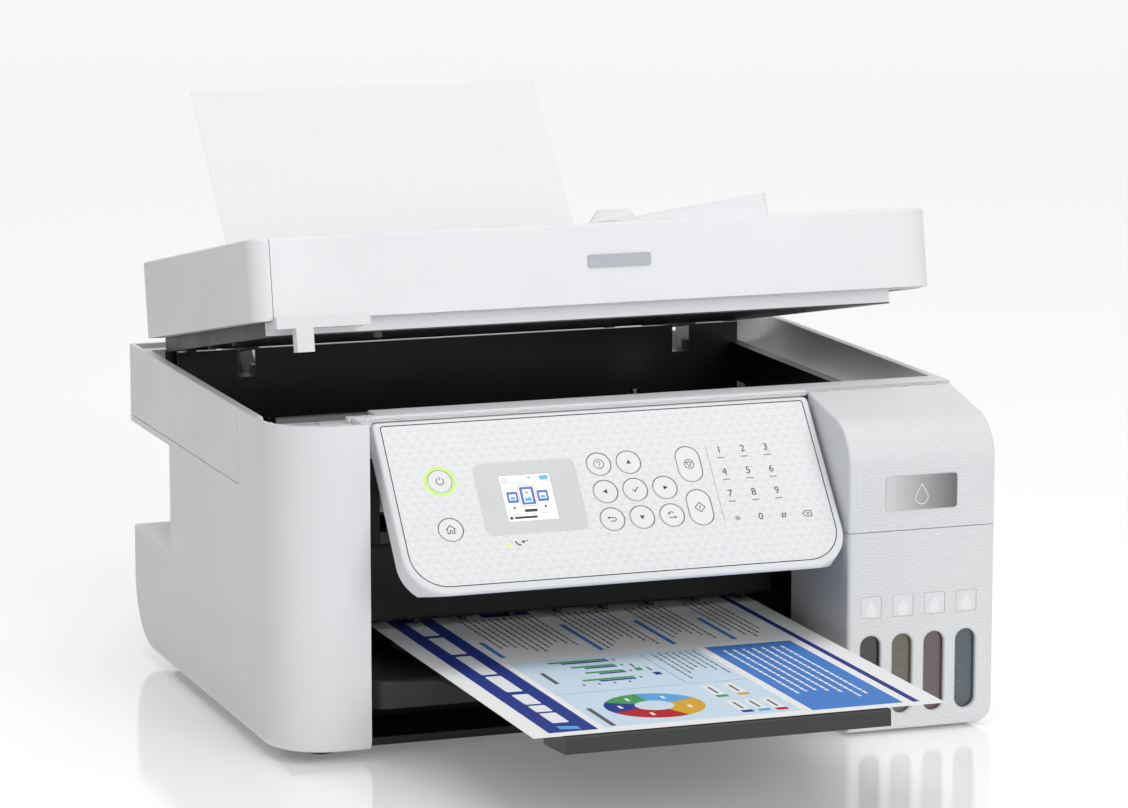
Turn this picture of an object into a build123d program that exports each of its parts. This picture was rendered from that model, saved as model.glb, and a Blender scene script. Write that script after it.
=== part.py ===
"""A tank-type inkjet all-in-one printer with a scanner and document feeder, in millimetres.

X runs to the printer's right, Y to its back and Z up. Sizes along Y are counted from the front
face of the ink tank unit, which is where the MACHINE, SIDE and FACE datum planes have their origin.
The printer stands ready in use: scanner unit ajar, control panel tilted out, output tray pulled out.
"""
from build123d import *
from math import cos, radians, sin
import os

os.makedirs("parts", exist_ok=True)

# ---------------------------------------------------------------- driving dimensions
FRONT_Y = -152.75  # front face of the ink tank unit, seen from the middle of the whole printer
HALF_WIDTH = 187.5
RIM_Z = 172.5  # top of the body
COVER_BOTTOM = 6.0  # lower edge of the side covers
SIDE_REAR = 322.0  # back of the side covers
BODY_REAR = 350.0  # back of the rear housing
WALL = 2.5  # moulded wall
SEAM = 0.5  # visible joint line between two covers
GAP = 0.4  # clearance between pieces that move past each other

PILLAR_FRONT = 34.0
PILLAR_RIGHT = -139.0
PILLAR_RADIUS = 32.0
REAR_RADIUS = 15.0

TANK_LEFT = 105.5
TANK_DEPTH = 75.0
TANK_SEAM_Z = 106.5
TANK_BOTTOM = 2.0
TANK_PITCH = 17.8
TANK_FIRST_X = 118.4

OPENING_X = (-167.8, 156.2)
OPENING_Y = (74.0, 288.4)
RIM_FRONT = 56.0  # front edge of the white rim strip

LID_TILT = 10.7  # how far the scanner unit stands open
LID_HINGE = (325.0, 167.4)  # Y and Z of its hinge
LID_FRONT = 67.5
LID_REAR = 288.0
LID_BOTTOM = 173.2
LID_TOP = 214.6

PANEL_SLOPE = 51.1  # of the control panel, from horizontal
PANEL_TOP = (50.5, 168.4)  # Y and Z of the overlay's top edge
OVERLAY_X = (-129.0, 100.3)
OVERLAY_HEIGHT = 92.5
BUTTON_RADIUS = 6.3

FEED_SLOPE = 47.0  # of the rear paper path
SHEET = (210.0, 297.0)  # A4
SHEET_CENTRE_X = -10.8
FEED_START = (452.0 - SHEET[1] * cos(radians(FEED_SLOPE)), 296.0 - SHEET[1] * sin(radians(FEED_SLOPE)))

TRAY_RISE = 3.5  # slope of the output tray's extension
TRAY_TIP = (-146.0, 52.3)  # Y and Z of its top front edge

# ---------------------------------------------------------------- datum planes
MACHINE = Plane(origin=(0, FRONT_Y, 0), x_dir=(1, 0, 0), z_dir=(0, 0, 1))
SIDE = Plane(origin=(0, FRONT_Y, 0), x_dir=(0, 1, 0), z_dir=(1, 0, 0))  # draws in Y and Z
FACE = Plane(origin=(0, FRONT_Y, 0), x_dir=(1, 0, 0), z_dir=(0, -1, 0))  # draws in X and Z, faces front


def tilted(y, z, angle):
    """A level frame at (0, y, z) whose back edge is turned up by angle degrees about X."""
    c, s = cos(radians(angle)), sin(radians(angle))
    return Plane(origin=(0, FRONT_Y + y, z), x_dir=(1, 0, 0), z_dir=(0, -s, c))


def tilted_side(y, z, angle):
    """The side view of tilted(): draws along its slope and its normal, and faces +X."""
    c, s = cos(radians(angle)), sin(radians(angle))
    return Plane(origin=(0, FRONT_Y + y, z), x_dir=(0, c, s), z_dir=(1, 0, 0))


def tilted_face(y, z, angle):
    """The front view of tilted(): draws in X and its normal, and faces down the slope."""
    c, s = cos(radians(angle)), sin(radians(angle))
    return Plane(origin=(0, FRONT_Y + y, z), x_dir=(1, 0, 0), z_dir=(0, -c, -s))


LID = tilted(*LID_HINGE, -LID_TILT)
LID_SIDE = tilted_side(*LID_HINGE, -LID_TILT)
LID_FACE = tilted_face(*LID_HINGE, -LID_TILT)
PANEL = tilted(*PANEL_TOP, PANEL_SLOPE)
PANEL_SIDE = tilted_side(*PANEL_TOP, PANEL_SLOPE)
FEED = tilted(*FEED_START, FEED_SLOPE)
FEED_SIDE = tilted_side(*FEED_START, FEED_SLOPE)
TRAY = tilted(*TRAY_TIP, -TRAY_RISE)


# ---------------------------------------------------------------- helpers
def block(x, y, z, mode=Mode.ADD):
    """A box between two limits on each axis of the part's own frame."""
    centre = (sum(x) / 2, sum(y) / 2, sum(z) / 2)
    with Locations(centre):
        Box(x[1] - x[0], y[1] - y[0], z[1] - z[0], mode=mode)


def rod(x, y, z, radius, mode=Mode.ADD):
    """A round bar along X between two limits."""
    with Locations(Location((sum(x) / 2, y, z), (0, 90, 0))):
        Cylinder(radius, x[1] - x[0], mode=mode)


def bar(x, y, z, radius, mode=Mode.ADD):
    """A round bar along the frame's Y between two limits."""
    with Locations(Location((x, sum(y) / 2, z), (90, 0, 0))):
        Cylinder(radius, y[1] - y[0], mode=mode)


def post(x, y, z, radius, mode=Mode.ADD):
    """A round bar along Z between two limits."""
    with Locations((x, y, sum(z) / 2)):
        Cylinder(radius, z[1] - z[0], mode=mode)


def lid_box(x, y, z, mode=Mode.ADD):
    """A box on the scanner unit, given where it would be with the unit shut."""
    hinge_y, hinge_z = LID_HINGE
    block(x, (y[0] - hinge_y, y[1] - hinge_y), (z[0] - hinge_z, z[1] - hinge_z), mode)


def save(builder, name):
    """Labels a finished piece and writes it."""
    builder.part.label = name
    export_step(builder.part, f"parts/{name}.step")


# ---------------------------------------------------------------- base and feet
CHASSIS_X = 176.0
CHASSIS_Z = (4.0, 8.0)
PILLAR_FOOT = ((-166.0, -142.0), (52.0, 84.0))
TANK_FOOT = ((110.0, 181.5), (8.0, 84.0))
FEET = ((-156.0, 66.0), (168.0, 24.0), (-150.0, 262.0), (150.0, 262.0))
FOOT_RADIUS = 8.0
SCREWS = ((-120.0, 112.0), (95.0, 112.0), (-112.0, 248.0), (84.0, 248.0), (150.0, 60.0), (0.0, 248.0))

with BuildPart(MACHINE) as base_chassis:
    block((-CHASSIS_X, CHASSIS_X), (84, 278), CHASSIS_Z)
    block((-135, 135), (278, 336), CHASSIS_Z)
    for foot_x, foot_y in (PILLAR_FOOT, TANK_FOOT):
        block(foot_x, foot_y, CHASSIS_Z)
    block((PILLAR_RIGHT + GAP, TANK_LEFT - 0.5), (52, 84), CHASSIS_Z)
    for x in (-CHASSIS_X, CHASSIS_X - WALL):
        block((x, x + WALL), (100, 278), (8, 11.2))
    block((-92, 135), (333.5, 336), (8, 21))
    for y in (96, 170, 228):
        block((-134, 100), (y, y + 3), (8, 25))
    for x, y in SCREWS:
        post(x, y, CHASSIS_Z, 3.2, Mode.SUBTRACT)
save(base_chassis, "base_chassis")

with BuildPart(MACHINE) as rubber_feet:
    for x, y in FEET:
        post(x, y, (0, CHASSIS_Z[0]), FOOT_RADIUS)
    chamfer(rubber_feet.faces().filter_by(Axis.Z).group_by(Axis.Z)[0].edges(), 0.8)
save(rubber_feet, "rubber_feet")

with BuildPart(MACHINE) as case_screws:
    for x, y in SCREWS:
        post(x, y, (4.6, 6.4), 3.0)
        post(x, y, (6.4, 9.6), 1.5)
        with Locations((x, y, 5)):
            Box(4, 0.9, 0.8, mode=Mode.SUBTRACT)
            Box(0.9, 4, 0.8, mode=Mode.SUBTRACT)
save(case_screws, "case_screws")


# ---------------------------------------------------------------- left side of the body
NOTCH_Y = 240.0
NOTCH_Z = (71.0, 129.5)
NOTCH_DEPTH = 23.0
PANEL_SEAM_Y = 104.0
PANEL_SEAM_Z = 133.4
LOWER_REAR_RADIUS = 38.0


def left_body(inset):
    """The left side as a solid block in the machine's frame, its outer faces pulled in by inset."""
    left = -HALF_WIDTH + inset
    top = RIM_Z if inset == 0 else RIM_Z + 5
    right = PILLAR_RIGHT - inset
    with BuildPart() as body:
        with BuildSketch(Plane.XY.offset(COVER_BOTTOM + inset)) as plan:
            with Locations((left, PILLAR_FRONT + inset)):
                Rectangle(right - left, SIDE_REAR - PILLAR_FRONT - 2 * inset, align=(Align.MIN, Align.MIN))
            front, back = plan.vertices().group_by(Axis.Y)
            fillet(front.sort_by(Axis.X)[0], PILLAR_RADIUS - inset)
            fillet(back.sort_by(Axis.X)[0], REAR_RADIUS - inset)
        extrude(amount=top - COVER_BOTTOM - inset)
        with BuildSketch(Plane.YZ.offset(left)) as profile:
            with Locations((0, COVER_BOTTOM + inset)):
                Rectangle(SIDE_REAR - inset, 200, align=(Align.MIN, Align.MIN))
            fillet(profile.vertices().group_by(Axis.Y)[0].sort_by(Axis.X)[-1], LOWER_REAR_RADIUS - inset)
        extrude(amount=right - left, mode=Mode.INTERSECT)
        notch_x = (left - 1, -HALF_WIDTH + NOTCH_DEPTH + inset)
        notch_z = (NOTCH_Z[0] - inset, NOTCH_Z[1] + inset)
        block(notch_x, (NOTCH_Y - inset, SIDE_REAR + 1), notch_z, Mode.SUBTRACT)
    return body.part


def side_shell():
    """The left side's walls, with the seat of the pillar's top and the open inner side cut away."""
    with BuildPart() as shell:
        add(left_body(0))
        outer_bottom = shell.edges().group_by(Axis.Z)[0].filter_by(lambda edge: edge.center().X < -140)
        fillet(outer_bottom.filter_by(lambda edge: edge.center().Y < 300), 5)
        add(left_body(WALL), mode=Mode.SUBTRACT)
        block((PILLAR_RIGHT - WALL - 1, PILLAR_RIGHT + 1), (90, SIDE_REAR - WALL), (0, 200), Mode.SUBTRACT)
        block((PILLAR_RIGHT - WALL - 1, PILLAR_RIGHT + 1), (RIM_FRONT - 0.5, 91), (166.5, 200), Mode.SUBTRACT)
        block((PILLAR_RIGHT - WALL - 1, PILLAR_RIGHT + 1), (76, 91), (163, 200), Mode.SUBTRACT)
        block((-177, PILLAR_RIGHT - WALL), (46, 312), (0, COVER_BOTTOM + WALL + 1), Mode.SUBTRACT)
        block((-177, PILLAR_RIGHT + 1), (84, 312), (0, COVER_BOTTOM + WALL + 1), Mode.SUBTRACT)
    return shell.part


whole_x, whole_y = (-200, -100), (0, 400)

with BuildPart(MACHINE) as left_side_cover:
    add(side_shell())
    block(whole_x, (PANEL_SEAM_Y - SEAM, 400), (PANEL_SEAM_Z - SEAM, 200), Mode.SUBTRACT)
save(left_side_cover, "left_side_cover")

with BuildPart(MACHINE) as upper_left_panel:
    add(side_shell())
    block(whole_x, whole_y, (0, PANEL_SEAM_Z), Mode.SUBTRACT)
    block(whole_x, (0, PANEL_SEAM_Y), (0, 200), Mode.SUBTRACT)
save(upper_left_panel, "upper_left_panel")


# ---------------------------------------------------------------- right side and rear of the body
with BuildPart(MACHINE) as rear_housing:
    # The right wall turns the rear corner and joins the deeper box around the paper feed.
    for inset, mode in ((0, Mode.ADD), (WALL, Mode.SUBTRACT)):
        top = RIM_Z if inset == 0 else RIM_Z + 5
        with BuildSketch(MACHINE.offset(COVER_BOTTOM + inset)) as plan:
            with Locations((HALF_WIDTH - inset, SIDE_REAR - inset)):
                Rectangle(60, 264, align=(Align.MAX, Align.MAX))
            fillet(plan.vertices().group_by(Axis.Y)[-1].sort_by(Axis.X)[-1], REAR_RADIUS - inset)
        extrude(amount=top - COVER_BOTTOM - inset, mode=mode)
    block((120, 200), (50, TANK_DEPTH + SEAM), (0, TANK_SEAM_Z + SEAM), Mode.SUBTRACT)
    block((120, HALF_WIDTH - WALL - 0.1), (50, TANK_DEPTH + SEAM), (0, 200), Mode.SUBTRACT)
    block((120, 200), (50, OPENING_Y[0] + 0.2), (169.3, 200), Mode.SUBTRACT)
    block((127, 177), (50, 312), (0, COVER_BOTTOM + WALL + 1), Mode.SUBTRACT)
    block((127, 182), (50, 90), (0, COVER_BOTTOM + WALL + 1), Mode.SUBTRACT)
    block((120, 141), (50, SIDE_REAR - WALL), (0, 200), Mode.SUBTRACT)
    with BuildSketch(SIDE.offset(-138)) as rear_profile:
        with Locations((SIDE_REAR - WALL, COVER_BOTTOM)):
            Rectangle(BODY_REAR - SIDE_REAR + WALL, 162 - COVER_BOTTOM, align=(Align.MIN, Align.MIN))
        fillet(rear_profile.vertices().group_by(Axis.Y)[0].sort_by(Axis.X)[-1], 18)
    extrude(amount=276)
    with BuildSketch(SIDE.offset(-138 + WALL)) as rear_hollow:
        with Locations((SIDE_REAR - WALL - 1, COVER_BOTTOM + WALL)):
            Rectangle(BODY_REAR - SIDE_REAR + 1, 200, align=(Align.MIN, Align.MIN))
        fillet(rear_hollow.vertices().group_by(Axis.Y)[0].sort_by(Axis.X)[-1], 18 - WALL)
    extrude(amount=276 - 2 * WALL, mode=Mode.SUBTRACT)
    block((127, 138 - WALL), (300, SIDE_REAR), (COVER_BOTTOM + WALL, 200), Mode.SUBTRACT)
    block((-138, 138), (300, 339), (0, COVER_BOTTOM + WALL + 1), Mode.SUBTRACT)
    block((-128, -98), (BODY_REAR - 6, BODY_REAR + 1), (18.5, 42.5), Mode.SUBTRACT)
    with BuildSketch(FACE.offset(-BODY_REAR)) as vents:
        with Locations((20, 60)):
            with GridLocations(0, 8, 1, 6):
                SlotOverall(90, 3)
    extrude(amount=10, both=True, mode=Mode.SUBTRACT)
save(rear_housing, "rear_housing")


# ---------------------------------------------------------------- rim around the opening
RIM_BACK = OPENING_Y[0]
PILLAR_TOP_Z = 169.5
GRIP_X = (-178.0, -127.5)  # seat of the scanner unit's lifting grip
POST_HOLE = ((-170.0, -155.0), (59.0, 72.0))
PANEL_PIVOT = (-3.0, -6.0)  # along the panel's slope and its normal
KNUCKLES = (-116.0, 88.0)  # X of the control panel's two hinges
KNUCKLE_RADIUS = 3.2
TANK_LID_KNUCKLES = (118.0, 175.0)
TANK_LID_PIVOT = (52.5, 166.6)
PIN_RADIUS = 2.0
FIT = 0.06  # radial clearance of a turning pin

with BuildPart(MACHINE) as front_rim:
    block((PILLAR_RIGHT + GAP, HALF_WIDTH), (RIM_FRONT, RIM_BACK), (169.5, RIM_Z))
    block((TANK_LEFT - 1, HALF_WIDTH + 1), (RIM_FRONT - 1, RIM_FRONT + 2.2), (160, 180), Mode.SUBTRACT)
    block((PILLAR_RIGHT + GAP, TANK_LEFT - 1.5), (RIM_FRONT + 5, RIM_FRONT + 7.5), (150, 169.5))
    block((TANK_LEFT + 3, HALF_WIDTH - 3), (RIM_BACK - WALL, RIM_BACK), (152, 169.5))
    fillet(front_rim.edges().filter_by(Axis.X).group_by(Axis.Z)[-1].sort_by(Axis.Y)[0], 1.2)
    for x in TANK_LID_KNUCKLES:
        rod((x - 2.6, x + 2.6), *TANK_LID_PIVOT, 1.7)
        block((x - 2.6, x + 2.6), (TANK_LID_PIVOT[0] - 1.7, TANK_LID_PIVOT[0] + 1.2), (158, TANK_LID_PIVOT[1]))
        block((x - 2.6, x + 2.6), (TANK_LID_PIVOT[0] - 1.7, RIM_BACK), (158, 160.4))
        rod((x - 4, x + 4), *TANK_LID_PIVOT, 0.9 + FIT, Mode.SUBTRACT)
    with BuildSketch(MACHINE.offset(PILLAR_TOP_Z - WALL)) as pillar_top:
        with Locations((-HALF_WIDTH + WALL + 0.2, PILLAR_FRONT + WALL + 0.2)):
            Rectangle(45.8, RIM_BACK - PILLAR_FRONT - WALL - 0.2, align=(Align.MIN, Align.MIN))
        fillet(pillar_top.vertices().group_by(Axis.Y)[0].sort_by(Axis.X)[0], PILLAR_RADIUS - WALL - 0.2)
    extrude(amount=WALL)
    block((PILLAR_RIGHT - WALL - 2, PILLAR_RIGHT + 8), (RIM_FRONT, RIM_BACK), (PILLAR_TOP_Z - WALL, RIM_Z))
    block((PILLAR_RIGHT - WALL - 0.2, PILLAR_RIGHT + GAP), (PILLAR_FRONT, RIM_FRONT), (160, 174), Mode.SUBTRACT)
    block((PILLAR_RIGHT - WALL - 0.2, PILLAR_RIGHT + 0.2), (RIM_FRONT - 1, 90.2), (100, 167), Mode.SUBTRACT)
    block(GRIP_X, (60.5, RIM_BACK + 1), (168.2, 180), Mode.SUBTRACT)
    block(*POST_HOLE, (150, 180), Mode.SUBTRACT)
    for x in KNUCKLES:
        slope = radians(PANEL_SLOPE)
        pivot_y = PANEL_TOP[0] + PANEL_PIVOT[0] * cos(slope) - PANEL_PIVOT[1] * sin(slope)
        pivot_z = PANEL_TOP[1] + PANEL_PIVOT[0] * sin(slope) + PANEL_PIVOT[1] * cos(slope)
        rod((x - 2.6, x + 2.6), pivot_y, pivot_z, KNUCKLE_RADIUS)
        block((x - 2.6, x + 2.6), (pivot_y, RIM_FRONT + 5), (pivot_z - KNUCKLE_RADIUS, pivot_z))
        rod((x - 4, x + 4), pivot_y, pivot_z, PIN_RADIUS + FIT, Mode.SUBTRACT)
save(front_rim, "front_rim")

FRAME_FLOOR = 152.0
SHELF_Z = 163.0  # the scanner case sinks onto this shelf when the unit shuts
LID_ARMS = ((-134.0, -126.4), (122.0, 130.0))  # X of the scanner unit's hinge arms

with BuildPart(MACHINE) as opening_frame:
    frame_x = (-HALF_WIDTH + WALL + 0.2, HALF_WIDTH - WALL - 0.2)
    block(frame_x, (90.4, 302), (FRAME_FLOOR, RIM_Z))
    block((PILLAR_RIGHT + 0.4, frame_x[1]), (RIM_BACK + 0.2, 90.4), (FRAME_FLOOR, RIM_Z))
    block((frame_x[0], PILLAR_RIGHT + 0.4), (RIM_BACK + 0.2, 90.4), (SHELF_Z - 10, RIM_Z))
    block((PILLAR_RIGHT - WALL - 0.3, PILLAR_RIGHT + 0.3), (70, 90.3), (150, RIM_Z), Mode.SUBTRACT)
    block(OPENING_X, (60, OPENING_Y[1]), (140, 180), Mode.SUBTRACT)
    with BuildSketch(FACE.offset(-60)) as seat:
        with BuildLine():
            left_top = (frame_x[0] + 2, RIM_Z + 1)
            Polyline(left_top, (-180.5, SHELF_Z), (OPENING_X[0], SHELF_Z - 4), (OPENING_X[0], 160), (163, 160))
            ThreePointArc((163, 160), (176.5, 163.2), (183.2, RIM_Z))
            Polyline((183.2, RIM_Z), (183.2, RIM_Z + 1), left_top)
        make_face()
    extrude(amount=-235, mode=Mode.SUBTRACT)
    block((OPENING_X[0], OPENING_X[1]), (280, 310), (SHELF_Z - 2, 180), Mode.SUBTRACT)
    block((OPENING_X[0] - 1, OPENING_X[1] + 4), (OPENING_Y[1], OPENING_Y[1] + WALL), (136, 171.5))
    for x in ((OPENING_X[0], -135), (-121, 92.4), (100, OPENING_X[1] + 4)):
        block(x, (OPENING_Y[1], OPENING_Y[1] + WALL), (132.4, 136))
    block((OPENING_X[1], OPENING_X[1] + WALL), (95, OPENING_Y[1] + 1), (139, FRAME_FLOOR + 1))
    for arm in LID_ARMS:
        block((arm[0] - 1.5, arm[1] + 1.5), (280, 310), (156, 180), Mode.SUBTRACT)
    cavity_z = (FRAME_FLOOR - 1, SHELF_Z - 8)
    block((frame_x[0] + WALL, OPENING_X[0] - WALL), (93, 299), cavity_z, Mode.SUBTRACT)
    block((OPENING_X[1] + WALL, frame_x[1] - WALL), (93, 299), cavity_z, Mode.SUBTRACT)
save(opening_frame, "opening_frame")


# ---------------------------------------------------------------- ink tanks at the front right
TANK_XS = [TANK_FIRST_X + TANK_PITCH * k for k in range(4)]
WINDOW_Z = (10.5, 52.5)
WINDOW_WIDTH = 11.4
LABEL_Z = 67.5
LABEL_SIZE = 11.6
TANK_LID_BACK = (55.6, 171.6)  # Y and Z of the lid's back edge
TANK_LID_RISE = 0.222  # slope of its roof
TANK_LID_RADIUS = 24.0

with BuildPart(MACHINE) as tank_lower_cover:
    for inset, mode in ((0, Mode.ADD), (WALL, Mode.SUBTRACT)):
        with BuildSketch(FACE.offset(-inset)) as outline:
            with Locations((TANK_LEFT + inset, TANK_BOTTOM + inset)):
                high = TANK_SEAM_Z - TANK_BOTTOM - inset + (5 if inset else 0)
                Rectangle(HALF_WIDTH - TANK_LEFT - 2 * inset, high, align=(Align.MIN, Align.MIN))
            low = outline.vertices().group_by(Axis.Z)[0].sort_by(Axis.X)
            fillet(low[-1], 9 - inset)
            fillet(low[0], 3 - inset)
        extrude(amount=-TANK_DEPTH, mode=mode)
        if inset == 0:
            front_edges = tank_lower_cover.faces().sort_by(Axis.Y)[0].edges()
            fillet(front_edges.filter_by(lambda edge: edge.center().Z < TANK_SEAM_Z - 1), 2.4)
    block((TANK_LEFT + WALL + 1, HALF_WIDTH - WALL - 3), (6, 90), (0, 6), Mode.SUBTRACT)
    with BuildSketch(FACE) as windows:
        with Locations(*[(x, sum(WINDOW_Z) / 2) for x in TANK_XS]):
            SlotOverall(WINDOW_Z[1] - WINDOW_Z[0], WINDOW_WIDTH, rotation=90)
    extrude(amount=-10, mode=Mode.SUBTRACT)
    with BuildSketch(FACE) as window_rims:
        with Locations(*[(x, sum(WINDOW_Z) / 2) for x in TANK_XS]):
            SlotOverall(WINDOW_Z[1] - WINDOW_Z[0] + 1.2, WINDOW_WIDTH + 1.2, rotation=90)
    extrude(amount=-0.6, taper=45, mode=Mode.SUBTRACT)
    with BuildSketch(FACE) as labels:
        with Locations(*[(x, LABEL_Z) for x in TANK_XS]):
            RectangleRounded(LABEL_SIZE, LABEL_SIZE, 1)
    extrude(amount=-0.5, mode=Mode.SUBTRACT)
save(tank_lower_cover, "tank_lower_cover")


def tank_lid_profile(inset):
    """Side outline of the tank lid: upright at the front, then rolled back up to the rim."""
    front_top = TANK_LID_BACK[1] - TANK_LID_BACK[0] * TANK_LID_RISE - inset
    with BuildLine() as outline:
        FilletPolyline((inset, TANK_SEAM_Z), (inset, front_top), (TANK_LID_BACK[0], TANK_LID_BACK[1] - inset),
                       radius=TANK_LID_RADIUS - inset)
        Polyline((TANK_LID_BACK[0], TANK_LID_BACK[1] - inset), (TANK_LID_BACK[0], TANK_SEAM_Z),
                 (inset, TANK_SEAM_Z))
    make_face(outline.edges())


with BuildPart(MACHINE) as tank_lid:
    with BuildSketch(SIDE.offset(TANK_LEFT)):
        tank_lid_profile(0)
    extrude(amount=HALF_WIDTH - TANK_LEFT)
    for face, radius in ((tank_lid.faces().sort_by(Axis.X)[0], 1.6), (tank_lid.faces().sort_by(Axis.X)[-1], 2.4)):
        rolled = face.edges().filter_by(lambda edge: edge.center().Y < FRONT_Y + 50)
        fillet(rolled.filter_by(lambda edge: edge.center().Z > TANK_SEAM_Z + 1), radius)
    fillet(tank_lid.edges().group_by(Axis.Z)[-1].sort_by(Axis.Y)[-1], 1.2)
    with BuildSketch(SIDE.offset(TANK_LEFT + WALL)):
        tank_lid_profile(WALL)
    extrude(amount=HALF_WIDTH - TANK_LEFT - 2 * WALL, mode=Mode.SUBTRACT)
    block((TANK_LEFT + WALL, HALF_WIDTH - WALL), (WALL, 80), (100, TANK_SEAM_Z + 1), Mode.SUBTRACT)
    for x in TANK_LID_KNUCKLES:
        for ear in (x - 5, x + 3):
            block((ear, ear + 2), (TANK_LID_PIVOT[0] - 2.4, TANK_LID_PIVOT[0] + 1.6), (TANK_LID_PIVOT[1] - 1.6, 169.5))
        rod((x - 4, x + 4), *TANK_LID_PIVOT, 0.9)
    block((100, 200), (-5, 80), (100, TANK_SEAM_Z + GAP), Mode.SUBTRACT)
save(tank_lid, "tank_lid")

TANK_Y = (3.2, 70.0)
TANK_Z = (10.0, 88.0)
CELL_WALL = 1.4
CAP_HINGE = (52.0, 96.0)  # Y and Z
NECK_Y = 36.0

with BuildPart(MACHINE) as ink_tank_unit:
    outer_x = (TANK_XS[0] - TANK_PITCH / 2 + 0.4, TANK_XS[-1] + TANK_PITCH / 2 - 0.4)
    block(outer_x, TANK_Y, TANK_Z)
    for x in TANK_XS:
        post(x, NECK_Y, (TANK_Z[1], 95), 6.2)
        block((x - 2, x + 2), (CAP_HINGE[0] - 2, CAP_HINGE[0] + 4), (TANK_Z[1], CAP_HINGE[1]))
        rod((x - 2, x + 2), *CAP_HINGE, 2.0)
        rod((x - 3, x + 3), *CAP_HINGE, 1.0 + FIT, Mode.SUBTRACT)
        half = TANK_PITCH / 2 - CELL_WALL / 2
        block((x - half, x + half), (TANK_Y[0] + CELL_WALL, TANK_Y[1] - CELL_WALL),
              (TANK_Z[0] + CELL_WALL, TANK_Z[1] - CELL_WALL), Mode.SUBTRACT)
        post(x, NECK_Y, (TANK_Z[1] - 3, 100), 4.4, Mode.SUBTRACT)
    block((outer_x[0] - 10, TANK_XS[0] - TANK_PITCH / 2 + 0.4), (0, 80), (0, 120), Mode.SUBTRACT)
save(ink_tank_unit, "ink_tank_unit")

for x, ink in zip(TANK_XS, ("black", "yellow", "magenta", "cyan")):
    with BuildPart(MACHINE) as tank_cap:
        post(x, NECK_Y, (95.2, 98.5), 7.4)
        post(x, NECK_Y, (92.4, 95.2), 3.9)
        block((x - 4.2, x + 4.2), (NECK_Y, CAP_HINGE[0] - 2.6), (96.2, 98.5))
        for ear in (-4.2, 2.4):
            block((x + ear, x + ear + 1.8), (CAP_HINGE[0] - 3, CAP_HINGE[0] + 1), (95, 98.5))
        rod((x - 4.2, x + 4.2), *CAP_HINGE, 1.0)
        block((x - 3, x + 3), (NECK_Y - 14, NECK_Y - 6), (96.4, 98.5))
    save(tank_cap, f"tank_cap_{ink}")


# ---------------------------------------------------------------- output tray
STAGE_X = (-136.0, 103.0)
STAGE_Y = (40.0, 226.0)
STAGE_Z = (25.4, 40.0)
EXTENSION_X = (-101.0, 65.0)
EXTENSION_LENGTH = 212.0
EXTENSION_LIP = 8.2
EXTENSION_PLATE = 3.0

with BuildPart(MACHINE) as output_tray:
    with BuildSketch(MACHINE.offset(STAGE_Z[0])) as stage_plan:
        with Locations((STAGE_X[0], STAGE_Y[0])):
            Rectangle(STAGE_X[1] - STAGE_X[0], STAGE_Y[1] - STAGE_Y[0], align=(Align.MIN, Align.MIN))
        fillet(stage_plan.vertices().group_by(Axis.Y)[0], 8)
    extrude(amount=STAGE_Z[1] - STAGE_Z[0])
    top_edges = output_tray.faces().sort_by(Axis.Z)[-1].edges()
    fillet(top_edges.sort_by(Axis.Y)[0:3], 2)
    slot_x = (EXTENSION_X[0] - GAP, EXTENSION_X[1] + GAP)
    with Locations(Location((0, TRAY_TIP[0], TRAY_TIP[1]), (-TRAY_RISE, 0, 0))):
        with Locations((sum(slot_x) / 2, 290, -EXTENSION_PLATE - GAP + 10)):
            Box(slot_x[1] - slot_x[0], 260, 20, mode=Mode.SUBTRACT)
    block(STAGE_X, (206, 230), (34.5, 45), Mode.SUBTRACT)
    block(STAGE_X, (105, 132), (38.5, 45), Mode.SUBTRACT)
save(output_tray, "output_tray")

with BuildPart(TRAY) as tray_extension:
    block(EXTENSION_X, (0, EXTENSION_LENGTH), (-EXTENSION_PLATE, 0))
    block(EXTENSION_X, (0, 3), (-EXTENSION_LIP, 0))
    for x in (EXTENSION_X[0], EXTENSION_X[1] - WALL):
        block((x, x + WALL), (0, 30), (-EXTENSION_LIP, 0))
    fillet(tray_extension.edges().filter_by(Axis.X).group_by(Axis.Z)[-1].sort_by(Axis.Y)[0], 0.8)
save(tray_extension, "tray_extension")

# ---------------------------------------------------------------- paper
PRINT_Y = -144.0  # front edge of the printed sheet
PRINT_Z = 52.6
PRINT_THICKNESS = 0.25
STACK_THICKNESS = 0.5
sheet_x = (SHEET_CENTRE_X - SHEET[0] / 2, SHEET_CENTRE_X + SHEET[0] / 2)

with BuildPart(MACHINE) as printed_sheet:
    block(sheet_x, (PRINT_Y, PRINT_Y + SHEET[1]), (PRINT_Z, PRINT_Z + PRINT_THICKNESS))
save(printed_sheet, "printed_sheet")

with BuildPart(FEED) as blank_paper:
    block(sheet_x, (0, SHEET[1]), (0, STACK_THICKNESS))
save(blank_paper, "blank_paper")

# ---------------------------------------------------------------- print mechanism
FRAME_X = (-165.0, 150.0)
SHEET_METAL = 1.5
WEB_Y = 212.0
RAIL_Z = 92.0
FEED_AXLE = (215.0, 47.0)  # Y and Z
EXIT_AXLE = (118.0, 46.5)
BELT_Y = (203.0, 209.0)
BELT_Z = 125.0
BELT_THICKNESS = 1.2
PULLEY_RADIUS = 7.0
IDLER_X = -150.0
DRIVE_X = 126.0
MOTOR_RADIUS = 17.0

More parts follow.
